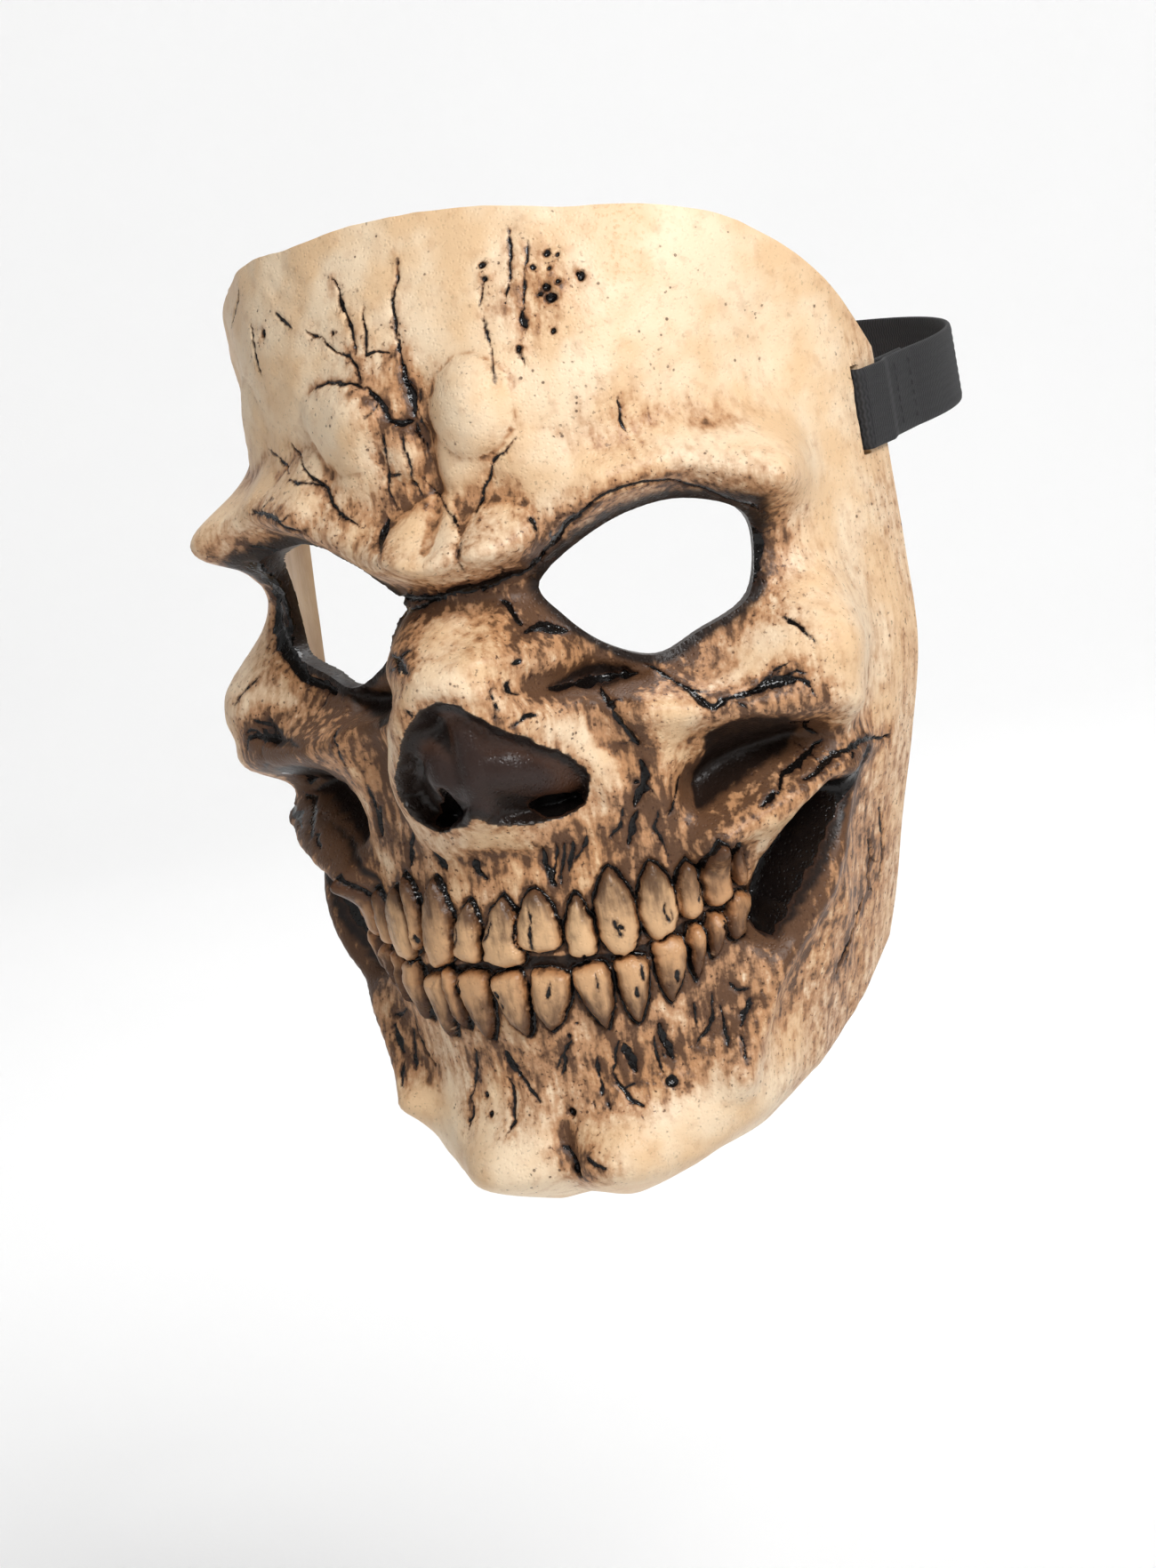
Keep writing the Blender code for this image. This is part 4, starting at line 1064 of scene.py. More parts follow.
class Casting:
    """The outer face at many places: its relief and what the paint does there.

    ink is how far inside a black line a place is, in millimetres; dark is soft black, with painted shade in
    the valleys inside the nose; wash_and_shadow is brown, sprayed, and in places painted shadow; tooth and
    root the teeth and how near the root, shade how brown a tooth is, with painted shade at its edges, and
    cavity the nose's lining.
    """

    def __init__(self, across, z, shell):
        self.across, self.z, self.shell = across, z, shell
        self.relief = main_relief(across, z)
        count = len(across)
        self.ink = np.full(count, NO_INK)
        self.dark, self.wash_and_shadow, self.tooth, self.root, self.shade = (np.zeros(count) for _ in range(5))
        self.wobbled = (
            across + WOBBLE * (ripple(across, z, 0.0022, 1) + 0.5 * ripple(across, z, 0.0009, 2)),
            z + WOBBLE * (ripple(across, z, 0.0022, 3) + 0.5 * ripple(across, z, 0.0009, 4)),
        )
        self.undulate()
        self.add_lumps()
        self.sink_cavity()
        self.sink_recesses()
        self.blacken_gap()
        self.set_teeth()
        self.cut_cracks()
        self.cut_pits()
        self.wash_sockets()
        self.lay_brown_zones()

    def undulate(self):
        """Low waves and dimples, as a hand-modelled casting has."""
        across, z = self.across, self.z
        waves = BROAD_WAVE[0] * ripple(across, z, BROAD_WAVE[1], 11)
        waves = waves + MIDDLE_WAVE[0] * ripple(across, z, MIDDLE_WAVE[1], 12)
        waves += FINE_WAVE[0] * ripple(across * 1.2 + z, z, FINE_WAVE[1], 13)
        side = smooth_step(*JAW_SIDE_FROM, np.abs(across)) * smooth_step(*JAW_SIDE_BELOW, z)
        waves += JAW_WRINKLE[0] * side * ripple(np.abs(across) + z * 0.25, z / 6, JAW_WRINKLE[1], 14)
        self.relief = self.relief + waves * smooth_step(*FLAT_RIM, to_side_rim(across, z))

    def add_lumps(self):
        """Rounded lumps and dips with uneven outlines, and brown in the creases of the sharper ones."""
        height, length = LUMP_WARP
        across = self.across + height * ripple(self.across, self.z, length, 31)
        z = self.z + height * ripple(self.across, self.z, length, 32)
        for centre, half, tilt, (lift, crisp) in PLACED["lumps"]:
            out = swelling(across, z, centre, half, tilt)
            dome = np.clip(1 - out, 0, 1) ** LUMP_FULLNESS
            self.relief = self.relief + lift * (crisp * dome + (1 - crisp) * np.exp(-out))
            patchy = 0.6 + 0.5 * ripple(self.across, self.z, CREASE_PATCH, 33)
            crease = np.exp(-(((np.sqrt(out) - CREASE_PLACE) / CREASE_SPREAD) ** 2))
            self.wash_and_shadow = self.wash_and_shadow + CREASE_STAIN * crisp * patchy * crease

    def sink_cavity(self):
        """The dark nose set back in its bony rim, with the septum, the wings and the nostrils."""
        depth = within(*self.wobbled, PLACED["cavity"])
        self.cavity = smooth_step(-0.0002, 0.0004, depth)
        sink = CAVITY_SINK * smooth_step(*CAVITY_WALL, depth)
        rim = CAVITY_RIM * np.exp(-(((-depth - CAVITY_RIM_PLACE) / CAVITY_RIM_SPREAD) ** 2)) * (depth < 0)
        self.relief = self.relief + rim
        edge = 0.95 * np.exp(-(((depth - 0.0006) / 0.0013) ** 2)) * (depth > -0.0003)
        self.dark = np.maximum(self.dark, edge)
        septum, _ = line_reach(*self.wobbled, PLACED["septum"])
        wings = SEPTUM_LIFT * np.exp(-((septum / SEPTUM_HALF) ** 2))
        for centre, half, tilt, (lift, crisp) in PLACED["wings"]:
            out = swelling(self.across, self.z, centre, half, tilt)
            dome = lift * (crisp * np.sqrt(np.clip(1 - out, 0, 1)) + (1 - crisp) * np.exp(-out))
            wings = np.maximum(wings, dome)
        self.relief = self.relief - sink + wings * smooth_step(0.0002, 0.0022, depth)
        # Darker in the valleys between the lobes inside the nose: painted shade
        self.dark = np.maximum(self.dark, 0.85 * smooth_step(0.0032, 0.0010, wings) * self.cavity)
        self.wash_and_shadow = self.wash_and_shadow + 0.8 * np.exp(-((depth / 0.0025) ** 2)) * (depth < 0)
        for outline in PLACED["nostrils"]:
            hole = within(*self.wobbled, outline)
            self.relief = self.relief - NOSTRIL_DEPTH * smooth_step(-0.0006, 0.0016, hole)
            self.ink = np.maximum(self.ink, 1000 * hole)

    def sink_recesses(self):
        for outline, depth, black, soft in PLACED["recesses"]:
            rows = close_to(self.across, self.z, outline, 0.02)
            inward = within(self.wobbled[0][rows], self.wobbled[1][rows], outline)
            self.relief[rows] -= depth * smooth_step(-0.0010, soft, inward)
            fill = black * smooth_step(-0.0008, soft * 0.7, inward)
            self.dark[rows] = np.maximum(self.dark[rows], fill)
            self.wash_and_shadow[rows] += 0.9 * np.exp(-((np.minimum(inward, 0) / RECESS_STAIN_SPREAD) ** 2))

    def blacken_gap(self):
        """The deep valley in front of the jaw, black and wet-looking."""
        valley = np.array(GAP_VALLEY) * (MASK_BREADTH, MASK_HEIGHT)
        reach, along = line_reach(np.abs(self.wobbled[0]), self.wobbled[1], valley)
        half = GAP_HALF * (0.30 + 0.70 * np.sin((0.08 + along * 0.84) * math.pi))
        self.dark = np.maximum(self.dark, smooth_step(1.25, 0.75, reach / half))
        self.ink = np.maximum(self.ink, 1000 * (half * 0.72 - reach))
        self.relief = self.relief - GAP_SINK * smooth_step(1.0, 0.3, reach / half)
        self.wash_and_shadow = self.wash_and_shadow + 0.9 * np.exp(-((np.maximum(reach - half, 0) / GAP_STAIN_SPREAD) ** 2))

    def set_teeth(self):
        bite, _ = line_reach(*self.wobbled, PLACED["bite"])
        between_rows = smooth_step(1, 0.6, bite / (BITE_WIDTH / PHOTO_SCALE / 2))
        self.dark = np.maximum(self.dark, 0.85 * between_rows)
        self.relief = self.relief - BETWEEN_ROWS_DEPTH * between_rows
        stands = np.zeros(len(self.z))
        for outline, root, axis, length, shade in PLACED["teeth"]:
            rows = close_to(self.across, self.z, outline, 0.006)
            across, z = self.wobbled[0][rows], self.wobbled[1][rows]
            depth = within(across, z, outline)
            on_tooth = depth > 0
            dome = np.clip(depth / TOOTH_ROUNDING, 0, 1)
            stand = self.shell.tooth_relief * np.sqrt(1 - (1 - dome) ** 2)
            down = np.clip(((across - root[0]) * axis[0] + (z - root[1]) * axis[1]) / length, 0, 1)
            uneven = 1 + 0.45 * ripple(self.across[rows], self.z[rows], 0.0024, 25)
            half = OUTLINE_WIDTH * (0.70 + 0.6 * (1 - down)) * uneven / 2
            line = half - np.abs(depth + OUTLINE_WIDTH * 0.1)
            stands[rows] = np.where(on_tooth, stand, stands[rows])
            stands[rows] -= OUTLINE_DEPTH * smooth_step(-0.0005, 0.0002, line)
            self.ink[rows] = np.where(on_tooth, 1000 * line, np.maximum(self.ink[rows], 1000 * line))
            body = smooth_step(-0.0001, 0.0002, depth)
            self.tooth[rows] = np.maximum(self.tooth[rows], body)
            self.root[rows] = np.where(on_tooth, 1 - down, self.root[rows])
            # Browner near the tooth's outline: painted shade
            edge_shaded = shade + 0.7 * np.exp(-((depth / TOOTH_EDGE_SHADE) ** 2))
            self.shade[rows] = np.where(on_tooth, edge_shaded, self.shade[rows])
            self.dark[rows] *= 1 - body
            gum = np.exp(-((np.minimum(depth, 0) / GUM_STAIN_SPREAD) ** 2))
            self.wash_and_shadow[rows] += 0.9 * gum * (1 - body)
        self.relief = self.relief + stands

    def cut_cracks(self):
        crooked = (
            self.wobbled[0] + CROOKED * ripple(self.across, self.z, 0.0040, 23),
            self.wobbled[1] + CROOKED * ripple(self.across, self.z, 0.0040, 24),
        )
        for route, half, depth in PLACED["cracks"]:
            rows = close_to(self.across, self.z, route, 0.012)
            off, along = line_reach(crooked[0][rows], crooked[1][rows], route)
            taper = 0.25 + 0.75 * np.sqrt(np.sin(np.clip(along, 0.01, 0.99) * math.pi))
            ragged = 1 + 0.40 * ripple(self.across[rows], self.z[rows], 0.0018, 21)
            ragged = ragged + 0.35 * ripple(self.across[rows], self.z[rows], 0.0008, 22)
            narrowed = half * taper * ragged * self.shell.crack_width
            groove = np.clip(1 - off / (narrowed * 1.9 + 0.0001), 0, 1)
            lip = np.exp(-(((off - narrowed * 2.6) / (narrowed * 1.1)) ** 2))
            self.relief[rows] += LIP_HEIGHT * lip - depth * groove
            self.ink[rows] = np.maximum(self.ink[rows], 1000 * (narrowed - off))
            spread = np.exp(-((off / STAIN_SPREAD) ** 2))
            self.wash_and_shadow[rows] += 0.55 * spread * np.clip(half / 0.0005, 0.35, 1.3)

    def cut_pits(self):
        for centre, radius, depth in PLACED["pits"]:
            off = np.hypot(self.wobbled[0] - centre[0], self.wobbled[1] - centre[1])
            self.relief = self.relief - depth * smooth_step(1.25, 0.3, off / radius)
            self.relief = self.relief + PIT_RIM_HEIGHT * np.exp(-(((off / radius - 1.5) / 0.35) ** 2))
            self.ink = np.maximum(self.ink, 1000 * (radius * 0.8 - off))
            self.wash_and_shadow = self.wash_and_shadow + 0.4 * np.exp(-((off / (radius * 2.2)) ** 2))

    def wash_sockets(self):
        """Brown and black airbrushed round the eye holes, strongest under the brow."""
        edge, above = to_eye_hole(self.across, self.z)
        reach = EYE_BLACK_REACH + BROW_BLACK_REACH * above
        self.dark = np.maximum(self.dark, 0.92 * np.exp(-((edge / (reach * 0.55)) ** 2)))
        self.wash_and_shadow = self.wash_and_shadow + 1.0 * np.exp(-((edge / (reach * 1.6)) ** 2))

    def lay_brown_zones(self):
        """Soft zones of brown, three of them painted shadow on the jaw's side, and brown towards the side
        rim.
        """
        for centre, half, tilt, strength in PLACED["washes_and_shadows"]:
            self.wash_and_shadow = self.wash_and_shadow + strength * np.exp(-swelling(*self.wobbled, centre, half, tilt))
        self.wash_and_shadow = self.wash_and_shadow + 0.5 * smooth_step(*RIM_BROWN_FROM, to_side_rim(self.across, self.z))


def to_eye_hole(across, z):
    """The distance to the nearest eye hole, 0 inside it, and how far above its middle, from 0 to 1."""
    share = across / np.interp(z, LEVELS, SHELL_LENGTH)
    points = shell_point(share, z)
    nearest, above = np.ones(len(z)), np.zeros(len(z))
    for hole in HOLES[:2]:
        flat, near = in_hole(points, hole)
        edge = np.where(near, np.maximum(-within(flat[:, 0], flat[:, 1], hole[0]), 0), 1.0)
        above = np.where(edge < nearest, smooth_step(-0.004, 0.010, flat[:, 1]), above)
        nearest = np.minimum(nearest, edge)
    return nearest, above


def detailed_grid(bm, cells, sheet, passes):
    """A flat grid of shares across and down, at a height that says which sheet it is, finer near detail."""
    columns, rows = cells
    made = bmesh.ops.create_grid(bm, x_segments=columns, y_segments=rows, size=1)["verts"]
    for vert in made:
        vert.co = (vert.co.x, (1 - vert.co.y) / 2, sheet)
    for reach in passes:
        verts = [v for v in bm.verts if v.co.z == sheet]
        share, fall = np.array([v.co for v in verts])[:, :2].T
        z = height_at(share, fall)
        across = across_of(share, z)
        distance = detail_distance(across, z) if sheet == OUTER else np.ones(len(verts))
        points = raised(share, fall, z, main_relief(across, z))
        for hole in HOLES:
            spot, near = in_hole(points, hole)
            edge = np.abs(within(spot[:, 0], spot[:, 1], hole[0]))
            distance = np.minimum(distance, np.where(near, edge, 1.0))
        fine = {vert for vert, off in zip(verts, distance) if off < reach}
        edges = [e for e in bm.edges if e.verts[0] in fine and e.verts[1] in fine]
        bmesh.ops.subdivide_edges(bm, edges=edges, cuts=1, use_grid_fill=True)


class ReliefMap:
    """The casting's relief on a regular grid, to blur it and to lay the inner face behind it."""

    def __init__(self, shell):
        across = np.arange(-MAP_ACROSS, MAP_ACROSS, MAP_CELL)
        level = np.arange(LEVELS[0], LEVELS[-1], MAP_CELL)
        self.low = across[0], level[0]
        grid = [g.ravel() for g in np.meshgrid(across, level)]
        self.relief = Casting(*grid, shell).relief.reshape(len(level), len(across))

    def blurred(self, size, values=None):
        values = self.relief if values is None else values
        half = max(1, round(3 * size / MAP_CELL))
        weights = np.exp(-((np.arange(-half, half + 1) * MAP_CELL / size) ** 2))
        weights /= weights.sum()
        padded = np.pad(values, half, mode="edge")
        rows = sum(w * padded[k : k + len(values)] for k, w in enumerate(weights))
        return sum(w * rows[:, k : k + values.shape[1]] for k, w in enumerate(weights))

    def lowest(self, cells):
        padded = np.pad(self.relief, cells, mode="edge")
        height, width = self.relief.shape
        shifts = range(0, 2 * cells + 1)
        rows = np.minimum.reduce([padded[k : k + height] for k in shifts])
        return np.minimum.reduce([rows[:, k : k + width] for k in shifts])

    def read(self, values, across, z):
        u = np.clip((across - self.low[0]) / MAP_CELL, 0, values.shape[1] - 1.001)
        v = np.clip((z - self.low[1]) / MAP_CELL, 0, values.shape[0] - 1.001)
        i, j = v.astype(int), u.astype(int)
        p, q = v - i, u - j
        low = values[i, j] * (1 - q) + values[i, j + 1] * q
        high = values[i + 1, j] * (1 - q) + values[i + 1, j + 1] * q
        return low * (1 - p) + high * p


def border_loops(bm, sheet):
    """A sheet's open borders, the outer one first and then the holes from side to side."""
    left = {e for e in bm.edges if e.is_boundary and e.verts[0].co.z == sheet}
    loops = []
    while left:
        queue, loop = [left.pop()], []
        while queue:
            edge = queue.pop()
            loop.append(edge)
            for vert in edge.verts:
                linked = [e for e in vert.link_edges if e in left]
                left.difference_update(linked)
                queue += linked
        places = np.array([vert.co for edge in loop for vert in edge.verts])
        loops.append((np.ptp(places[:, 0]) < 1.9, places[:, 0].mean(), loop))
    loops.sort(key=lambda found: found[:2])
    return [loop for _, _, loop in loops]


def open_holes(bm):
    """Takes out what lies inside a hole, and any place where two borders would touch."""
    verts = list(bm.verts)
    share, fall, sheet = np.array([v.co for v in verts]).T
    z = height_at(share, fall)
    points = raised(share, fall, z, main_relief(across_of(share, z), z), sheet * WALL)
    gone = np.zeros(len(verts), bool)
    for hole in HOLES:
        spot, near = in_hole(points, hole)
        gone |= near & inside(spot[:, 0], spot[:, 1], hole[0])
    bmesh.ops.delete(bm, geom=[v for v, out in zip(verts, gone) if out], context="VERTS")
    pinched = [v for v in bm.verts if sum(e.is_boundary for e in v.link_edges) > 2]
    while pinched:
        bmesh.ops.delete(bm, geom=pinched, context="VERTS")
        pinched = [v for v in bm.verts if sum(e.is_boundary for e in v.link_edges) > 2]


def nearest_on(outline, spot):
    """The nearest place on a closed outline."""
    starts, runs = outline, np.roll(outline, -1, axis=0) - outline
    t = np.clip(((spot - starts) * runs).sum(1) / ((runs * runs).sum(1) + 1e-15), 0, 1)
    places = starts + runs * t[:, None]
    return places[np.argmin(np.hypot(*(places - spot).T))]


def snap_to_holes(points, on_border):
    """Moves the borders of the holes onto their outlines."""
    for outline, place, along, facing in HOLES:
        spot, near = in_hole(points, (outline, place, along, facing))
        edge = np.abs(within(spot[:, 0], spot[:, 1], outline))
        for k in np.flatnonzero(on_border & near & (edge < HOLE_SNAP)):
            shift = nearest_on(outline, spot[k]) - spot[k]
            points[k] += along * shift[0] + (0, 0, shift[1])


def finished_mesh(bm, name, **values):
    """The mesh with smooth faces, and with each of the values stored on its vertices."""
    for face in bm.faces:
        face.smooth = True
    mesh = bpy.data.meshes.new(name)
    bm.to_mesh(mesh)
    bm.free()
    for kind, numbers in values.items():
        stored = mesh.attributes.new(kind, "FLOAT", "POINT")
        stored.data.foreach_set("value", numbers.astype(np.float32))
    return mesh


def shell_mesh(shell):
    """The casting's outer and inner faces, joined round the border and the holes."""
    bm = bmesh.new()
    detailed_grid(bm, OUTER_CELLS, OUTER, REFINE_NEAR)
    detailed_grid(bm, INNER_CELLS, INNER, INNER_REFINE_NEAR)
    open_holes(bm)
    border = set()
    for outer_loop, inner_loop in zip(border_loops(bm, OUTER), border_loops(bm, INNER)):
        both = outer_loop + inner_loop
        border.update(vert for edge in both for vert in edge.verts)
        for edge in both:
            edge.smooth = False
        bmesh.ops.bridge_loops(bm, edges=both)
    verts = list(bm.verts)
    share, fall, sheet = np.array([v.co for v in verts]).T
    outer = sheet == OUTER
    z = height_at(share, fall)
    across = across_of(share, z)
    casting = Casting(across[outer], z[outer], shell)
    relief_map = ReliefMap(shell)
    behind = relief_map.blurred(INNER_BLUR, relief_map.lowest(INNER_CLEAR_CELLS))
    relief = relief_map.read(behind, across, z)
    relief[outer] = casting.relief
    points = raised(share, fall, z, relief, sheet * WALL)
    snap_to_holes(points, np.array([vert in border for vert in verts]))
    values = {name: np.zeros(len(verts)) for name in PAINT_VALUES}
    for name in PAINT_VALUES:
        values[name][outer] = getattr(casting, name)
    values["ink"][~outer] = NO_INK
    edge, _ = to_eye_hole(across[~outer], z[~outer])
    values["dark"][~outer] = np.exp(-((edge / INNER_BLACK_SPREAD) ** 2))
    # How far each place lies below its blurred surroundings, fine and broad: brown wash and painted shade go
    # into these hollows
    for name, size in (("fine_hollow_wash_and_shade", FINE_HOLLOW_SIZE), ("broad_hollow_wash_and_shade", BROAD_HOLLOW_SIZE)):
        values[name] = (relief_map.read(relief_map.blurred(size), across, z) - relief) * 1000 * outer
    for vert, point in zip(verts, points):
        vert.co = point
    outer_verts = {vert for vert, out in zip(verts, outer) if out}
    for face in bm.faces:
        face.material_index = 0 if any(vert in outer_verts for vert in face.verts) else 1
    bmesh.ops.triangulate(bm, faces=bm.faces)
    bmesh.ops.recalc_face_normals(bm, faces=bm.faces)
    return finished_mesh(bm, "painted_shell", **values)


def wall_in_plan(from_rim):
    """On the left side at the strap's level: a point of the outer face this far from the side rim, in plan,
    the wall's outward direction there and its direction to the back."""
    length = float(np.interp(STRAP_LEVEL, LEVELS, SHELL_LENGTH))
    share = np.array([1 - from_rim / length])
    z = np.array([STRAP_LEVEL])
    facing = shell_normal(share, z)[0, :2]
    facing = facing / np.linalg.norm(facing)
    return shell_point(share, z)[0, :2], facing, np.array([-facing[1], facing[0]])


def rounded_route(points, radius, steps):
    """A route with its corners rounded by arcs."""
    points = [np.array(p, float) for p in points]
    route = [points[0]]
    for before, corner, after in zip(points, points[1:], points[2:]):
        back, ahead = before - corner, after - corner
        reach_back, reach_ahead = np.linalg.norm(back), np.linalg.norm(ahead)
        cosine = float(np.clip(back @ ahead / reach_back / reach_ahead, -1, 1))
        trim = min(radius / math.tan(math.acos(cosine) / 2), 0.45 * reach_back, 0.45 * reach_ahead)
        start, end = corner + back / reach_back * trim, corner + ahead / reach_ahead * trim
        for t in np.linspace(0, 1, steps):
            route.append(start * (1 - t) ** 2 + corner * 2 * t * (1 - t) + end * t**2)
    return np.array(route + [points[-1]])


def strap_route():
    """The middle line of the strap in plan: the fold through the left slot from the tab's end, and then the
    half turn round the head."""
    lay = STRAP_THICKNESS / 2 + STRAP_CLEARANCE
    slot, slot_out, _ = wall_in_plan(SLOT_EDGE)
    rim, rim_out, back = wall_in_plan(0)
    under = slot - slot_out * (WALL + lay)
    over = slot + slot_out * lay
    past_rim = back * lay
    layer = STRAP_THICKNESS + STRAP_CLEARANCE
    joined = rim + back * RIM_FOLD - rim_out * (WALL - layer) / 2
    leaving = joined + back * TAB_RUN
    tab = joined - rim_out * layer
    fold = [tab + back * TAB_RUN, tab, rim + past_rim - rim_out * (WALL + lay), under]
    fold += [over, rim + past_rim + rim_out * lay, joined, leaving]
    depth = HEAD_BACK - leaving[1]
    swell = HEAD_BREADTH / 2 - leaving[0]
    head = []
    for turn in np.linspace(0, math.pi / 2, 40)[1:]:
        x = leaving[0] * abs(math.cos(turn)) ** HEAD_ROUNDNESS + swell * math.sin(2 * turn)
        head.append((x, leaving[1] + depth * math.sin(turn)))
    head[-1] = (0.0, HEAD_BACK)
    stitched = [tab + back * TAB_RUN * t + rim_out * layer / 2 for t in STITCH_ROWS]
    return fold, head, stitched, rim_out


def even_route(route, spacing):
    """The route at equal steps, with the length run at each."""
    run = np.concatenate([[0], np.cumsum(np.hypot(*np.diff(route, axis=0).T))])
    stations = np.linspace(0, run[-1], round(run[-1] / spacing) + 1)
    return np.stack([np.interp(stations, run, column) for column in route.T], 1), stations


def strap_section(strap):
    """The band's cross-section: offsets through and over it, with lengthwise ribs on both faces."""
    half_thick, half_wide = STRAP_THICKNESS / 2, strap.width / 2
    over = np.linspace(-half_wide + half_thick, half_wide - half_thick, strap.ribs * 6 + 1)
    rib = np.abs(np.sin(np.linspace(0, strap.ribs * math.pi, len(over)))) * RIB_DEPTH
    front = [(half_thick - RIB_DEPTH + r, z) for r, z in zip(rib, over)]
    turn = np.linspace(0, math.pi, 7)[1:-1]
    deep = half_thick - RIB_DEPTH
    top = [(deep * math.cos(t), half_wide - half_thick + half_thick * math.sin(t)) for t in turn]
    back = [(-through, z) for through, z in front[::-1]]
    bottom = [(-through, -z) for through, z in top]
    return np.array(front + top + back + bottom)


def strap_mesh(strap):
    """The whole band in one piece: fold, half turn, and the mirror image of both."""
    fold, head, _, _ = strap_route()
    half = rounded_route(fold, FOLD_RADIUS, 9).tolist() + head
    route, run = even_route(np.array(half + [(-x, y) for x, y in half[-2::-1]]), STRAP_STEP)
    forward = np.gradient(route, axis=0)
    forward /= np.linalg.norm(forward, axis=1)[:, None]
    side = np.stack([-forward[:, 1], forward[:, 0]], 1)
    section = strap_section(strap)
    bm = bmesh.new()
    runs, overs, rings = [], [], []
    for place, out, at in zip(route, side, run):
        ring = []
        for through, over in section:
            x, y = place + out * through
            ring.append(bm.verts.new((x, y, STRAP_LEVEL + over)))
            runs.append(at)
            overs.append(over)
        rings.append(ring)
    for ring, after in zip(rings, rings[1:]):
        for k in range(len(ring)):
            bm.faces.new((ring[k - 1], ring[k], after[k], after[k - 1]))
    bm.faces.new(rings[0])
    bm.faces.new(rings[-1])
    bmesh.ops.triangulate(bm, faces=[face for face in bm.faces if len(face.verts) > 4])
    bmesh.ops.recalc_face_normals(bm, faces=bm.faces)
    return finished_mesh(bm, "woven_strap", run=np.array(runs), over=np.array(overs))


def stitch_mesh(strap):
    """The thread that holds each folded end: short stitches on both faces, in rows across the band."""
    _, _, rows, out = strap_route()
    bm = bmesh.new()
    length = strap.width * 0.8 / STITCHES
    for side in (1, -1):
        for row in rows:
            for face in (1, -1):
                proud = out * face * (STRAP_THICKNESS + STRAP_CLEARANCE / 2 - RIB_DEPTH / 2)
                for k in range(STITCHES):
                    z = STRAP_LEVEL + (k - (STITCHES - 1) / 2) * length
                    x, y = row + proud
                    place = Matrix.Translation((side * x, y, z))
                    size = Matrix.Diagonal((THREAD_RADIUS, THREAD_RADIUS, length * 0.38, 1))
                    bmesh.ops.create_uvsphere(bm, u_segments=8, v_segments=6, radius=1, matrix=place @ size)
    return finished_mesh(bm, "strap_stitches")


class Value:
    """A node's output socket, so that shader maths is written as plain expressions."""

    def __init__(self, finish, socket):
        self.finish, self.socket = finish, socket

    def math(self, operation, *inputs):
        made = self.finish.node("ShaderNodeMath", {"operation": operation}, dict(enumerate(inputs)))
        return Value(self.finish, made.outputs[0])

    def __add__(self, other):
        return self.math("ADD", self, other)

    def __sub__(self, other):
        return self.math("SUBTRACT", self, other)

    def __mul__(self, other):
        return self.math("MULTIPLY", self, other)

    def __truediv__(self, other):
        return self.math("DIVIDE", self, other)

    def __rsub__(self, other):
        return self.math("SUBTRACT", other, self)

    __radd__ = __add__
    __rmul__ = __mul__

    def at_least(self, other):
        return self.math("MAXIMUM", self, other)

    def at_most(self, other):
        return self.math("MINIMUM", self, other)

    def wave(self, period):
        return self.math("SINE", self * (2 * math.pi / period))

    def step(self, low, high):
        """0 below low, 1 above high, and smooth between."""
        settings = {"interpolation_type": "SMOOTHSTEP"}
        sockets = {"Value": self, "From Min": low, "From Max": high}
        made = self.finish.node("ShaderNodeMapRange", settings, sockets)
        return Value(self.finish, made.outputs["Result"])


class Finish:
    """A material, and the nodes that make its surface."""

    def __init__(self, name):
        self.material = bpy.data.materials.new(name)
        self.material.use_nodes = True
        self.tree = self.material.node_tree
        self.shader = self.tree.nodes["Principled BSDF"]
        coordinates = self.node("ShaderNodeTexCoord", {}, {})
        self.place = Value(self, coordinates.outputs["Object"])

    def node(self, kind, settings, sockets):
        made = self.tree.nodes.new(kind)
        for name, setting in settings.items():
            setattr(made, name, setting)
        for name, value in sockets.items():
            self.put(made.inputs[name], value)
        return made

    def put(self, socket, value):
        if isinstance(value, Value):
            self.tree.links.new(value.socket, socket)
        else:
            socket.default_value = value

    def attribute(self, name):
        return Value(self, self.node("ShaderNodeAttribute", {"attribute_name": name}, {}).outputs["Fac"])

    def noise(self, size, detail=2.0, stretch=(1, 1, 1)):
        """Soft noise from 0 to 1 whose blots are about this large, in metres."""
        scaled = self.node("ShaderNodeVectorMath", {"operation": "MULTIPLY"}, {0: self.place, 1: stretch})
        sockets = {"Vector": Value(self, scaled.outputs[0]), "Scale": 1 / size, "Detail": detail}
        return Value(self, self.node("ShaderNodeTexNoise", {}, sockets).outputs["Fac"])

    def cells(self, size):
        """The distance from the middle of rounded cells of this size, for pores."""
        sockets = {"Vector": self.place, "Scale": 1 / size}
        return Value(self, self.node("ShaderNodeTexVoronoi", {}, sockets).outputs["Distance"])

    def mix(self, amount, under, over, blend="MIX"):
        """A colour laid over another by an amount."""
        settings = {"data_type": "RGBA", "blend_type": blend, "clamp_factor": True}
        made = self.node("ShaderNodeMix", settings, {0: amount, 6: under, 7: over})
        return Value(self, made.outputs[2])

    def bump(self, height, depth):
        """Uses a height from 0 to 1 as fine relief of this depth, in metres."""
        made = self.node("ShaderNodeBump", {}, {"Strength": 1.0, "Distance": depth, "Height": height})
        self.put(self.shader.inputs["Normal"], Value(self, made.outputs["Normal"]))

    def surface(self, colour, roughness, ior):
        self.put(self.shader.inputs["Base Color"], colour)
        self.put(self.shader.inputs["Roughness"], roughness)
        self.put(self.shader.inputs["IOR"], ior)
        return self.material


def tone(red, green, blue):
    """A colour as it is seen on screen, from 0 to 255, for a shader."""
    seen = np.array((red, green, blue)) / 255
    return tuple(float(v) for v in np.where(seen > 0.04045, ((seen + 0.055) / 1.055) ** 2.4, seen / 12.92))


def opaque(colour):
    return (*colour, 1.0)


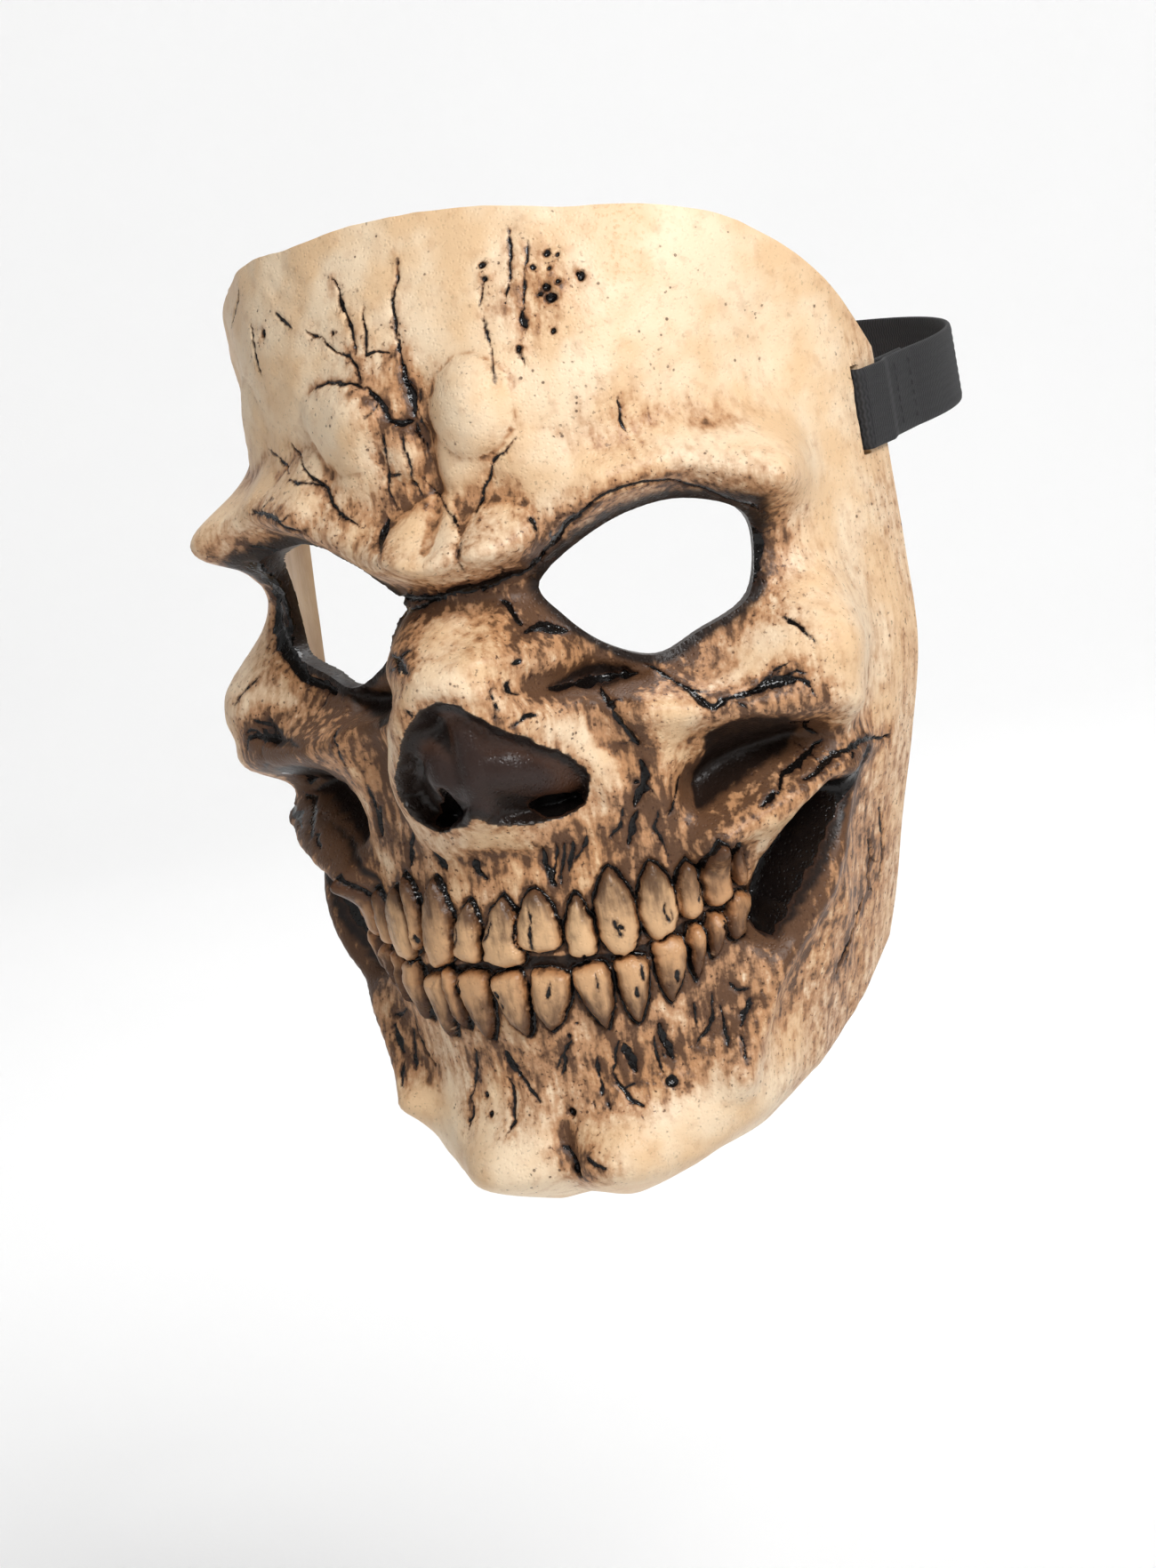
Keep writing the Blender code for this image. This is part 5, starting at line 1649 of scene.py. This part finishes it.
def painted_latex(shell):
    """Bone-coloured paint with brown sprays and glossy black lines, on the outside of the casting. The brown
    also paints shade in the hollows and at the teeth's edges and shadow on the jaw's side, and the soft
    black paints shade in the nose's valleys.
    """
    finish = Finish("painted_latex")
    ink, dark, wash_and_shadow = (finish.attribute(name) for name in ("ink", "dark", "wash_and_shadow"))
    tooth, root, shade = (finish.attribute(name) for name in ("tooth", "root", "shade"))
    cavity, fine_hollow_wash_and_shade, broad_hollow_wash_and_shade = (finish.attribute(name) for name in ("cavity", "fine_hollow_wash_and_shade", "broad_hollow_wash_and_shade"))
    cloud = finish.noise(0.016, 3)
    wisp = finish.noise(0.0030, 5)
    fleck = finish.noise(0.0009, 2)
    streak = finish.noise(0.0018, 4, stretch=(1, 1, 0.22))
    black = (ink + (wisp - 0.5) * 0.5 + (fleck - 0.5) * 0.35).step(-0.08, 0.10)
    halo = (ink + (wisp - 0.5) * 1.2 + (fleck - 0.5) * 0.8).step(-0.45, 0.10)
    # Soft black: sprayed black, and painted shade in the nose's valleys
    smoke_and_shade = (dark + (wisp - 0.5) * dark * 0.8 + (streak - 0.5) * dark * 0.4).step(0.12, 0.72)
    grouped = (cloud - 0.48).step(0, 0.08) * (wisp - 0.5).step(0, 0.10)
    pitted = (0.22 - finish.cells(0.0019)).step(0, 0.08) * grouped
    # Brown wash and painted shade in the hollows
    hollow_wash_and_shade = fine_hollow_wash_and_shade.step(0.03, 0.55) * 0.70 + broad_hollow_wash_and_shade.step(0.15, 2.4) * 0.40
    patchy = (wisp - 0.5) * 1.6 + (streak - 0.5) * 2.4 + (fleck - 0.5) * 0.8
    patchy = patchy * (wash_and_shadow * 0.8 + hollow_wash_and_shade * 0.6 + 0.12).at_most(1.2)
    # All the brown: sprayed wash, painted shade in the hollows and painted shadow on the side of the jaw
    wash_and_shade = wash_and_shadow * 0.85 + hollow_wash_and_shade + (cloud - 0.5) * 0.5 + patchy
    bone = finish.mix(cloud.step(0.35, 0.65), opaque(shell.bone), opaque(shell.pale_bone))
    bone = finish.mix((wisp - 0.5).step(0.02, 0.20) * 0.18, bone, opaque(shell.wash_and_shade))
    bone = finish.mix(wash_and_shade.step(0.05, 0.95) * 0.85, bone, opaque(shell.wash_and_shade))
    deep = (wash_and_shade + (streak - 0.5) * 1.6 + (wisp - 0.5) * 0.8).step(0.75, 1.80) * 0.86
    bone = finish.mix(deep, bone, opaque(shell.umber))
    flecks = fleck.step(0.62, 0.72) * (wash_and_shadow + 0.2).at_most(1.0) * 0.85
    bone = finish.mix(flecks, bone, opaque(shell.umber))
    bone = finish.mix(pitted * 0.75, bone, opaque(shell.umber))
    # A tooth browns with its own tone, with painted shade at its edges, and with brown wash and painted
    # shade in its hollows
    ivory = finish.mix(shade * 0.80 + fine_hollow_wash_and_shade.step(0.0, 0.6) * 0.5, opaque(shell.tooth), opaque(shell.wash_and_shade))
    rooted = root * 0.90 + shade * 0.35 + (wisp - 0.5) * 0.6 + (streak - 0.5) * 1.1
    ivory = finish.mix(rooted.step(0.30, 1.05) * 0.88, ivory, opaque(shell.umber))
    base = finish.mix(tooth, bone, ivory)
    lining = finish.mix(broad_hollow_wash_and_shade.step(-1.5, 1.5), opaque(shell.lining), opaque(shell.umber))
    base = finish.mix(cavity, base, lining)
    base = finish.mix(smoke_and_shade * 0.96, base, opaque(shell.smoke_and_shade))
    base = finish.mix(halo * 0.75, base, opaque(shell.umber))
    base = finish.mix(black, base, opaque(shell.black))
    matt = 0.44 + (cloud - 0.5) * 0.16 + (wisp - 0.5) * 0.14 - tooth * 0.10
    rough = matt * (1 - smoke_and_shade) + smoke_and_shade * 0.40
    rough = rough * (1 - cavity * 0.15)
    rough = rough * (1 - black) + black * 0.15
    pores = finish.cells(0.0010).step(0.05, 0.45)
    grain = finish.noise(0.0006, 3)
    finish.bump(pores * 0.35 + grain * 0.30 + streak * 0.20 + wisp * 0.6 - pitted * 0.7, 0.00024)
    return finish.surface(base, rough, 1.36)


def raw_latex(shell):
    """Bare latex inside the casting, cloudy and tacky, with black over-spray round the eye holes."""
    finish = Finish("raw_latex")
    cloud = finish.noise(0.020, 3)
    brushed = finish.noise(0.0035, 3, stretch=(1, 1, 0.3))
    dark = finish.attribute("dark")
    base = finish.mix(cloud.step(0.3, 0.7), opaque(shell.latex), opaque(shell.aged_latex))
    base = finish.mix((brushed - 0.5).step(0, 0.3) * 0.35, base, opaque(shell.aged_latex))
    base = finish.mix((dark + (brushed - 0.5) * 0.4).step(0.2, 0.8), base, opaque(shell.smoke_and_shade))
    finish.bump(brushed * 0.6 + finish.noise(0.0012, 2) * 0.4, 0.00025)
    return finish.surface(base, 0.40 + (cloud - 0.5) * 0.2, 1.5)


def woven_elastic(strap):
    """Black elastic: crosswise threads between lengthwise ribs."""
    finish = Finish("black_elastic")
    run, over = finish.attribute("run"), finish.attribute("over")
    thread = (run + over.wave(0.0020) * 0.00012).wave(0.00085) * 0.5 + 0.5
    lint = finish.noise(0.0007, 4)
    base = finish.mix(thread * 0.6 + lint * 0.3, opaque(strap.dark_thread), opaque(strap.light_thread))
    finish.bump(thread * 0.7 + lint * 0.3, 0.00012)
    return finish.surface(base, 0.72 + (lint - 0.5) * 0.2, 1.45)


def stitching(strap):
    """Black sewing thread with a twist."""
    finish = Finish("sewing_thread")
    twist = finish.noise(0.0003, 2)
    base = finish.mix(twist, opaque(strap.dark_thread), opaque(strap.light_thread))
    finish.bump(twist, 0.00006)
    return finish.surface(base, 0.55 + (twist - 0.5) * 0.1, 1.45)


def studio_paper(stage):
    """Pale seamless paper with a faint tooth."""
    finish = Finish("studio_paper")
    mottle = finish.noise(0.25, 2)
    tooth = finish.noise(0.0015, 2)
    greyer = tuple(c * 0.98 for c in stage.paper)
    base = finish.mix(mottle.step(0.3, 0.7) * 0.5, opaque(stage.paper), opaque(greyer))
    finish.bump(tooth, 0.00005)
    return finish.surface(base, 0.85 + (tooth - 0.5) * 0.1, 1.45)


def add_object(context, name, mesh, *materials):
    made = bpy.data.objects.new(name, mesh)
    context.scene.collection.objects.link(made)
    for material in materials:
        mesh.materials.append(material)
    return made


def colour_setting(name, description, default):
    return bpy.props.FloatVectorProperty(
        name=name, description=description, default=default, subtype="COLOR", size=3, min=0.0, max=1.0
    )


def size_setting(name, description, default, low, high):
    return bpy.props.FloatProperty(
        name=name, description=description, default=default, min=low, max=high, unit="LENGTH", precision=4
    )


def amount_setting(name, description, default, low, high):
    return bpy.props.FloatProperty(name=name, description=description, default=default, min=low, max=high)


class ShellSettings(bpy.types.PropertyGroup):
    """Sizes and paint of the casting."""

    tooth_relief: size_setting(
        "Tooth relief", "How far the teeth stand over the gum", TOOTH_RELIEF, 0.001, 0.006
    )
    crack_width: amount_setting(
        "Crack width", "Width of the painted cracks, 1 is as on the original", 1.0, 0.2, 2.0
    )
    bone: colour_setting("Bone", "Main paint", tone(228, 193, 152))
    pale_bone: colour_setting("Pale bone", "Paler clouds in the paint", tone(240, 216, 184))
    # This brown also paints the shade in the hollows and the shadow on the jaw's side
    wash_and_shade: colour_setting("WashAndShadow", "Brown wash in the hollows", tone(176, 122, 78))
    umber: colour_setting("Umber", "Darkest brown", tone(66, 41, 27))
    tooth: colour_setting("Tooth", "Biting ends of the teeth", tone(228, 190, 146))
    lining: colour_setting("Nose lining", "Flesh-dark lining of the nose", tone(46, 31, 26))
    # This colour also paints the shade in the valleys inside the nose
    smoke_and_shade: colour_setting("Smoke", "Soft black sprayed in the recesses", tone(28, 19, 15))
    black: colour_setting("Black", "Glossy black in the cracks", tone(15, 12, 11))
    latex: colour_setting("Latex", "Bare latex inside", tone(214, 180, 132))
    aged_latex: colour_setting("Aged latex", "Darker clouds in the bare latex", tone(176, 136, 90))


class StrapSettings(bpy.types.PropertyGroup):
    """Sizes and colours of the elastic strap."""

    width: size_setting("Width", "Width of the band", STRAP_BOX[1].z - STRAP_BOX[0].z, 0.006, 0.020)
    ribs: bpy.props.IntProperty(
        name="Ribs",
        description="Lengthwise ribs on each face",
        default=9,
        min=3,
        max=16,
    )
    dark_thread: colour_setting("Dark thread", "Between the threads", tone(14, 14, 15))
    light_thread: colour_setting("Light thread", "On top of the threads", tone(52, 51, 53))


class StageSettings(bpy.types.PropertyGroup):
    """The studio round the mask."""

    floor_drop: size_setting("Floor drop", "How far below the chin the floor is", 0.20, 0.02, 1.0)
    room: size_setting("Room", "Radius of the seamless paper round the mask", 2.6, 1.5, 6.0)
    key: amount_setting("Key light", "Power of the soft main light, in watts", 14.5, 0.0, 500.0)
    air: amount_setting("Ambient light", "Strength of the even light from all round", 0.10, 0.0, 4.0)
    ground: amount_setting(
        "Ground light", "Power of the lights on the paper behind the mask, in watts", 14.0, 0.0, 500.0
    )
    paper: colour_setting("Paper", "Seamless paper", tone(240, 240, 240))


class MESH_OT_painted_shell(bpy.types.Operator):
    """Add the painted latex casting in the place of the plain shell"""

    bl_idname = "mesh.painted_shell"
    bl_label = "Painted Shell"
    bl_options = {"REGISTER", "UNDO"}

    def execute(self, context):
        shell = context.scene.mask_shell_settings
        finishes = painted_latex(shell), raw_latex(shell)
        made = add_object(context, "painted_shell", shell_mesh(shell), *finishes)
        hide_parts("mask_shell")
        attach(made, "root")
        return {"FINISHED"}


class MESH_OT_woven_strap(bpy.types.Operator):
    """Add the ribbed elastic strap with its stitched ends in the place of the plain strap"""

    bl_idname = "mesh.woven_strap"
    bl_label = "Woven Strap"
    bl_options = {"REGISTER", "UNDO"}

    def execute(self, context):
        strap = context.scene.mask_strap_settings
        band = add_object(context, "woven_strap", strap_mesh(strap), woven_elastic(strap))
        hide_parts("elastic_strap")
        thread = add_object(context, "strap_stitches", stitch_mesh(strap), stitching(strap))
        for piece in (band, thread):
            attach(piece, "root")
        return {"FINISHED"}


class SCENE_OT_mask_studio(bpy.types.Operator):
    """Add the seamless paper, the soft lights and the camera"""

    bl_idname = "scene.mask_studio"
    bl_label = "Mask Studio"
    bl_options = {"REGISTER", "UNDO"}

    def execute(self, context):
        stage = context.scene.mask_stage_settings
        add_object(context, "studio_paper", paper_mesh(stage), studio_paper(stage))
        add_lights(context, stage)
        add_camera(context)
        context.scene.view_settings.view_transform = "Standard"
        return {"FINISHED"}


def paper_mesh(stage):
    """A round floor that curves up into a wall all round, so that every view has the same plain ground."""
    floor = CAD_BOX[0][2] - stage.floor_drop
    profile = [(0.0, floor), (stage.room * 0.3, floor), (stage.room - COVE, floor)]
    for turn in np.linspace(0, math.pi / 2, 14)[1:]:
        profile.append((stage.room - COVE + COVE * math.sin(turn), floor + COVE * (1 - math.cos(turn))))
    profile.append((stage.room, floor + stage.room * 1.2))
    bm = bmesh.new()
    verts = [bm.verts.new((x, 0, z)) for x, z in profile]
    edges = [bm.edges.new(pair) for pair in zip(verts, verts[1:])]
    spin = {"cent": (0, 0, 0), "axis": (0, 0, 1), "angle": 2 * math.pi, "steps": 96}
    bmesh.ops.spin(bm, geom=verts + edges, use_merge=True, **spin)
    bmesh.ops.remove_doubles(bm, verts=bm.verts, dist=0.0005)
    bmesh.ops.recalc_face_normals(bm, faces=bm.faces)
    return finished_mesh(bm, "studio_paper")


def facing_matrix(right, up, back, place):
    """The matrix of a camera or light that looks against back."""
    rows = [[right[i], up[i], back[i], place[i]] for i in range(3)]
    return Matrix([*rows, (0, 0, 0, 1)])


def aimed(place, target):
    """The matrix of a light at a place that shines on a target."""
    back = (place - target) / np.linalg.norm(place - target)
    right = np.cross((0, 0, 1), back)
    right /= np.linalg.norm(right)
    return facing_matrix(right, np.cross(back, right), back, place)


def add_lamp(context, name, power, size, place, target):
    light = bpy.data.lights.new(name, "AREA")
    light.energy = power
    light.shape = "DISK"
    light.size = size
    lamp = bpy.data.objects.new(name, light)
    context.scene.collection.objects.link(lamp)
    lamp.matrix_world = aimed(place, target)


def add_lights(context, stage):
    """A main light above the camera, a weaker one beside it, two on the paper, and even air."""
    _, right, up, back, _ = photo_view()
    middle = np.array([0.0, 0.0, -0.03])
    above = middle + right * 0.36 + up * 0.66 + back * 1.0
    beside = middle - right * 0.9 + up * 0.1 + back * 1.2
    add_lamp(context, "key_light", stage.key, 0.50, above, middle)
    add_lamp(context, "fill_light", stage.key * 0.14, 1.2, beside, middle)
    behind = middle - back * (stage.room - 0.2)
    for name, height in (("upper_ground_light", 1.4), ("lower_ground_light", 0.2)):
        overhead = middle - back * 0.5 + up * 1.5
        add_lamp(context, name, stage.ground, 1.0, overhead, behind + up * (height - 0.9))
    world = bpy.data.worlds.new("studio_air")
    world.use_nodes = True
    air = world.node_tree.nodes["Background"]
    air.inputs["Color"].default_value = (1.0, 0.99, 0.97, 1.0)
    air.inputs["Strength"].default_value = stage.air
    context.scene.world = world


def add_camera(context):
    """The camera that sees the mask as the photograph does."""
    place, right, up, back, focal = photo_view()
    lens = bpy.data.cameras.new("photo_camera")
    lens.sensor_fit = "VERTICAL"
    lens.sensor_height = SENSOR_HEIGHT
    lens.lens = focal / PHOTO_HEIGHT * SENSOR_HEIGHT
    lens.clip_start = 0.01
    camera = bpy.data.objects.new("photo_camera", lens)
    context.scene.collection.objects.link(camera)
    camera.matrix_world = facing_matrix(right, up, back, place)
    context.scene.camera = camera


class VIEW3D_PT_skull_mask(bpy.types.Panel):
    """Lists the mask's pieces and their settings"""

    bl_label = "Skull Mask"
    bl_idname = "VIEW3D_PT_skull_mask"
    bl_space_type = "VIEW_3D"
    bl_region_type = "UI"
    bl_category = "Skull Mask"

    def draw(self, context):
        for operator, group in STEPS:
            box = self.layout.box()
            box.operator(operator)
            settings = getattr(context.scene, group)
            for name in settings.__annotations__:
                box.prop(settings, name)


STEPS = (
    ("mesh.painted_shell", "mask_shell_settings"),
    ("mesh.woven_strap", "mask_strap_settings"),
    ("scene.mask_studio", "mask_stage_settings"),
)
GROUPS = {
    "mask_shell_settings": ShellSettings,
    "mask_strap_settings": StrapSettings,
    "mask_stage_settings": StageSettings,
}
CLASSES = (
    *GROUPS.values(),
    MESH_OT_painted_shell,
    MESH_OT_woven_strap,
    SCENE_OT_mask_studio,
    VIEW3D_PT_skull_mask,
)


def register():
    for cls in CLASSES:
        bpy.utils.register_class(cls)
    for name, group in GROUPS.items():
        setattr(bpy.types.Scene, name, bpy.props.PointerProperty(type=group))


def unregister():
    for name in GROUPS:
        delattr(bpy.types.Scene, name)
    for cls in reversed(CLASSES):
        bpy.utils.unregister_class(cls)


def main():
    register()
    bpy.ops.mesh.painted_shell()
    bpy.ops.mesh.woven_strap()
    bpy.ops.scene.mask_studio()


if __name__ == "__main__":
    main()
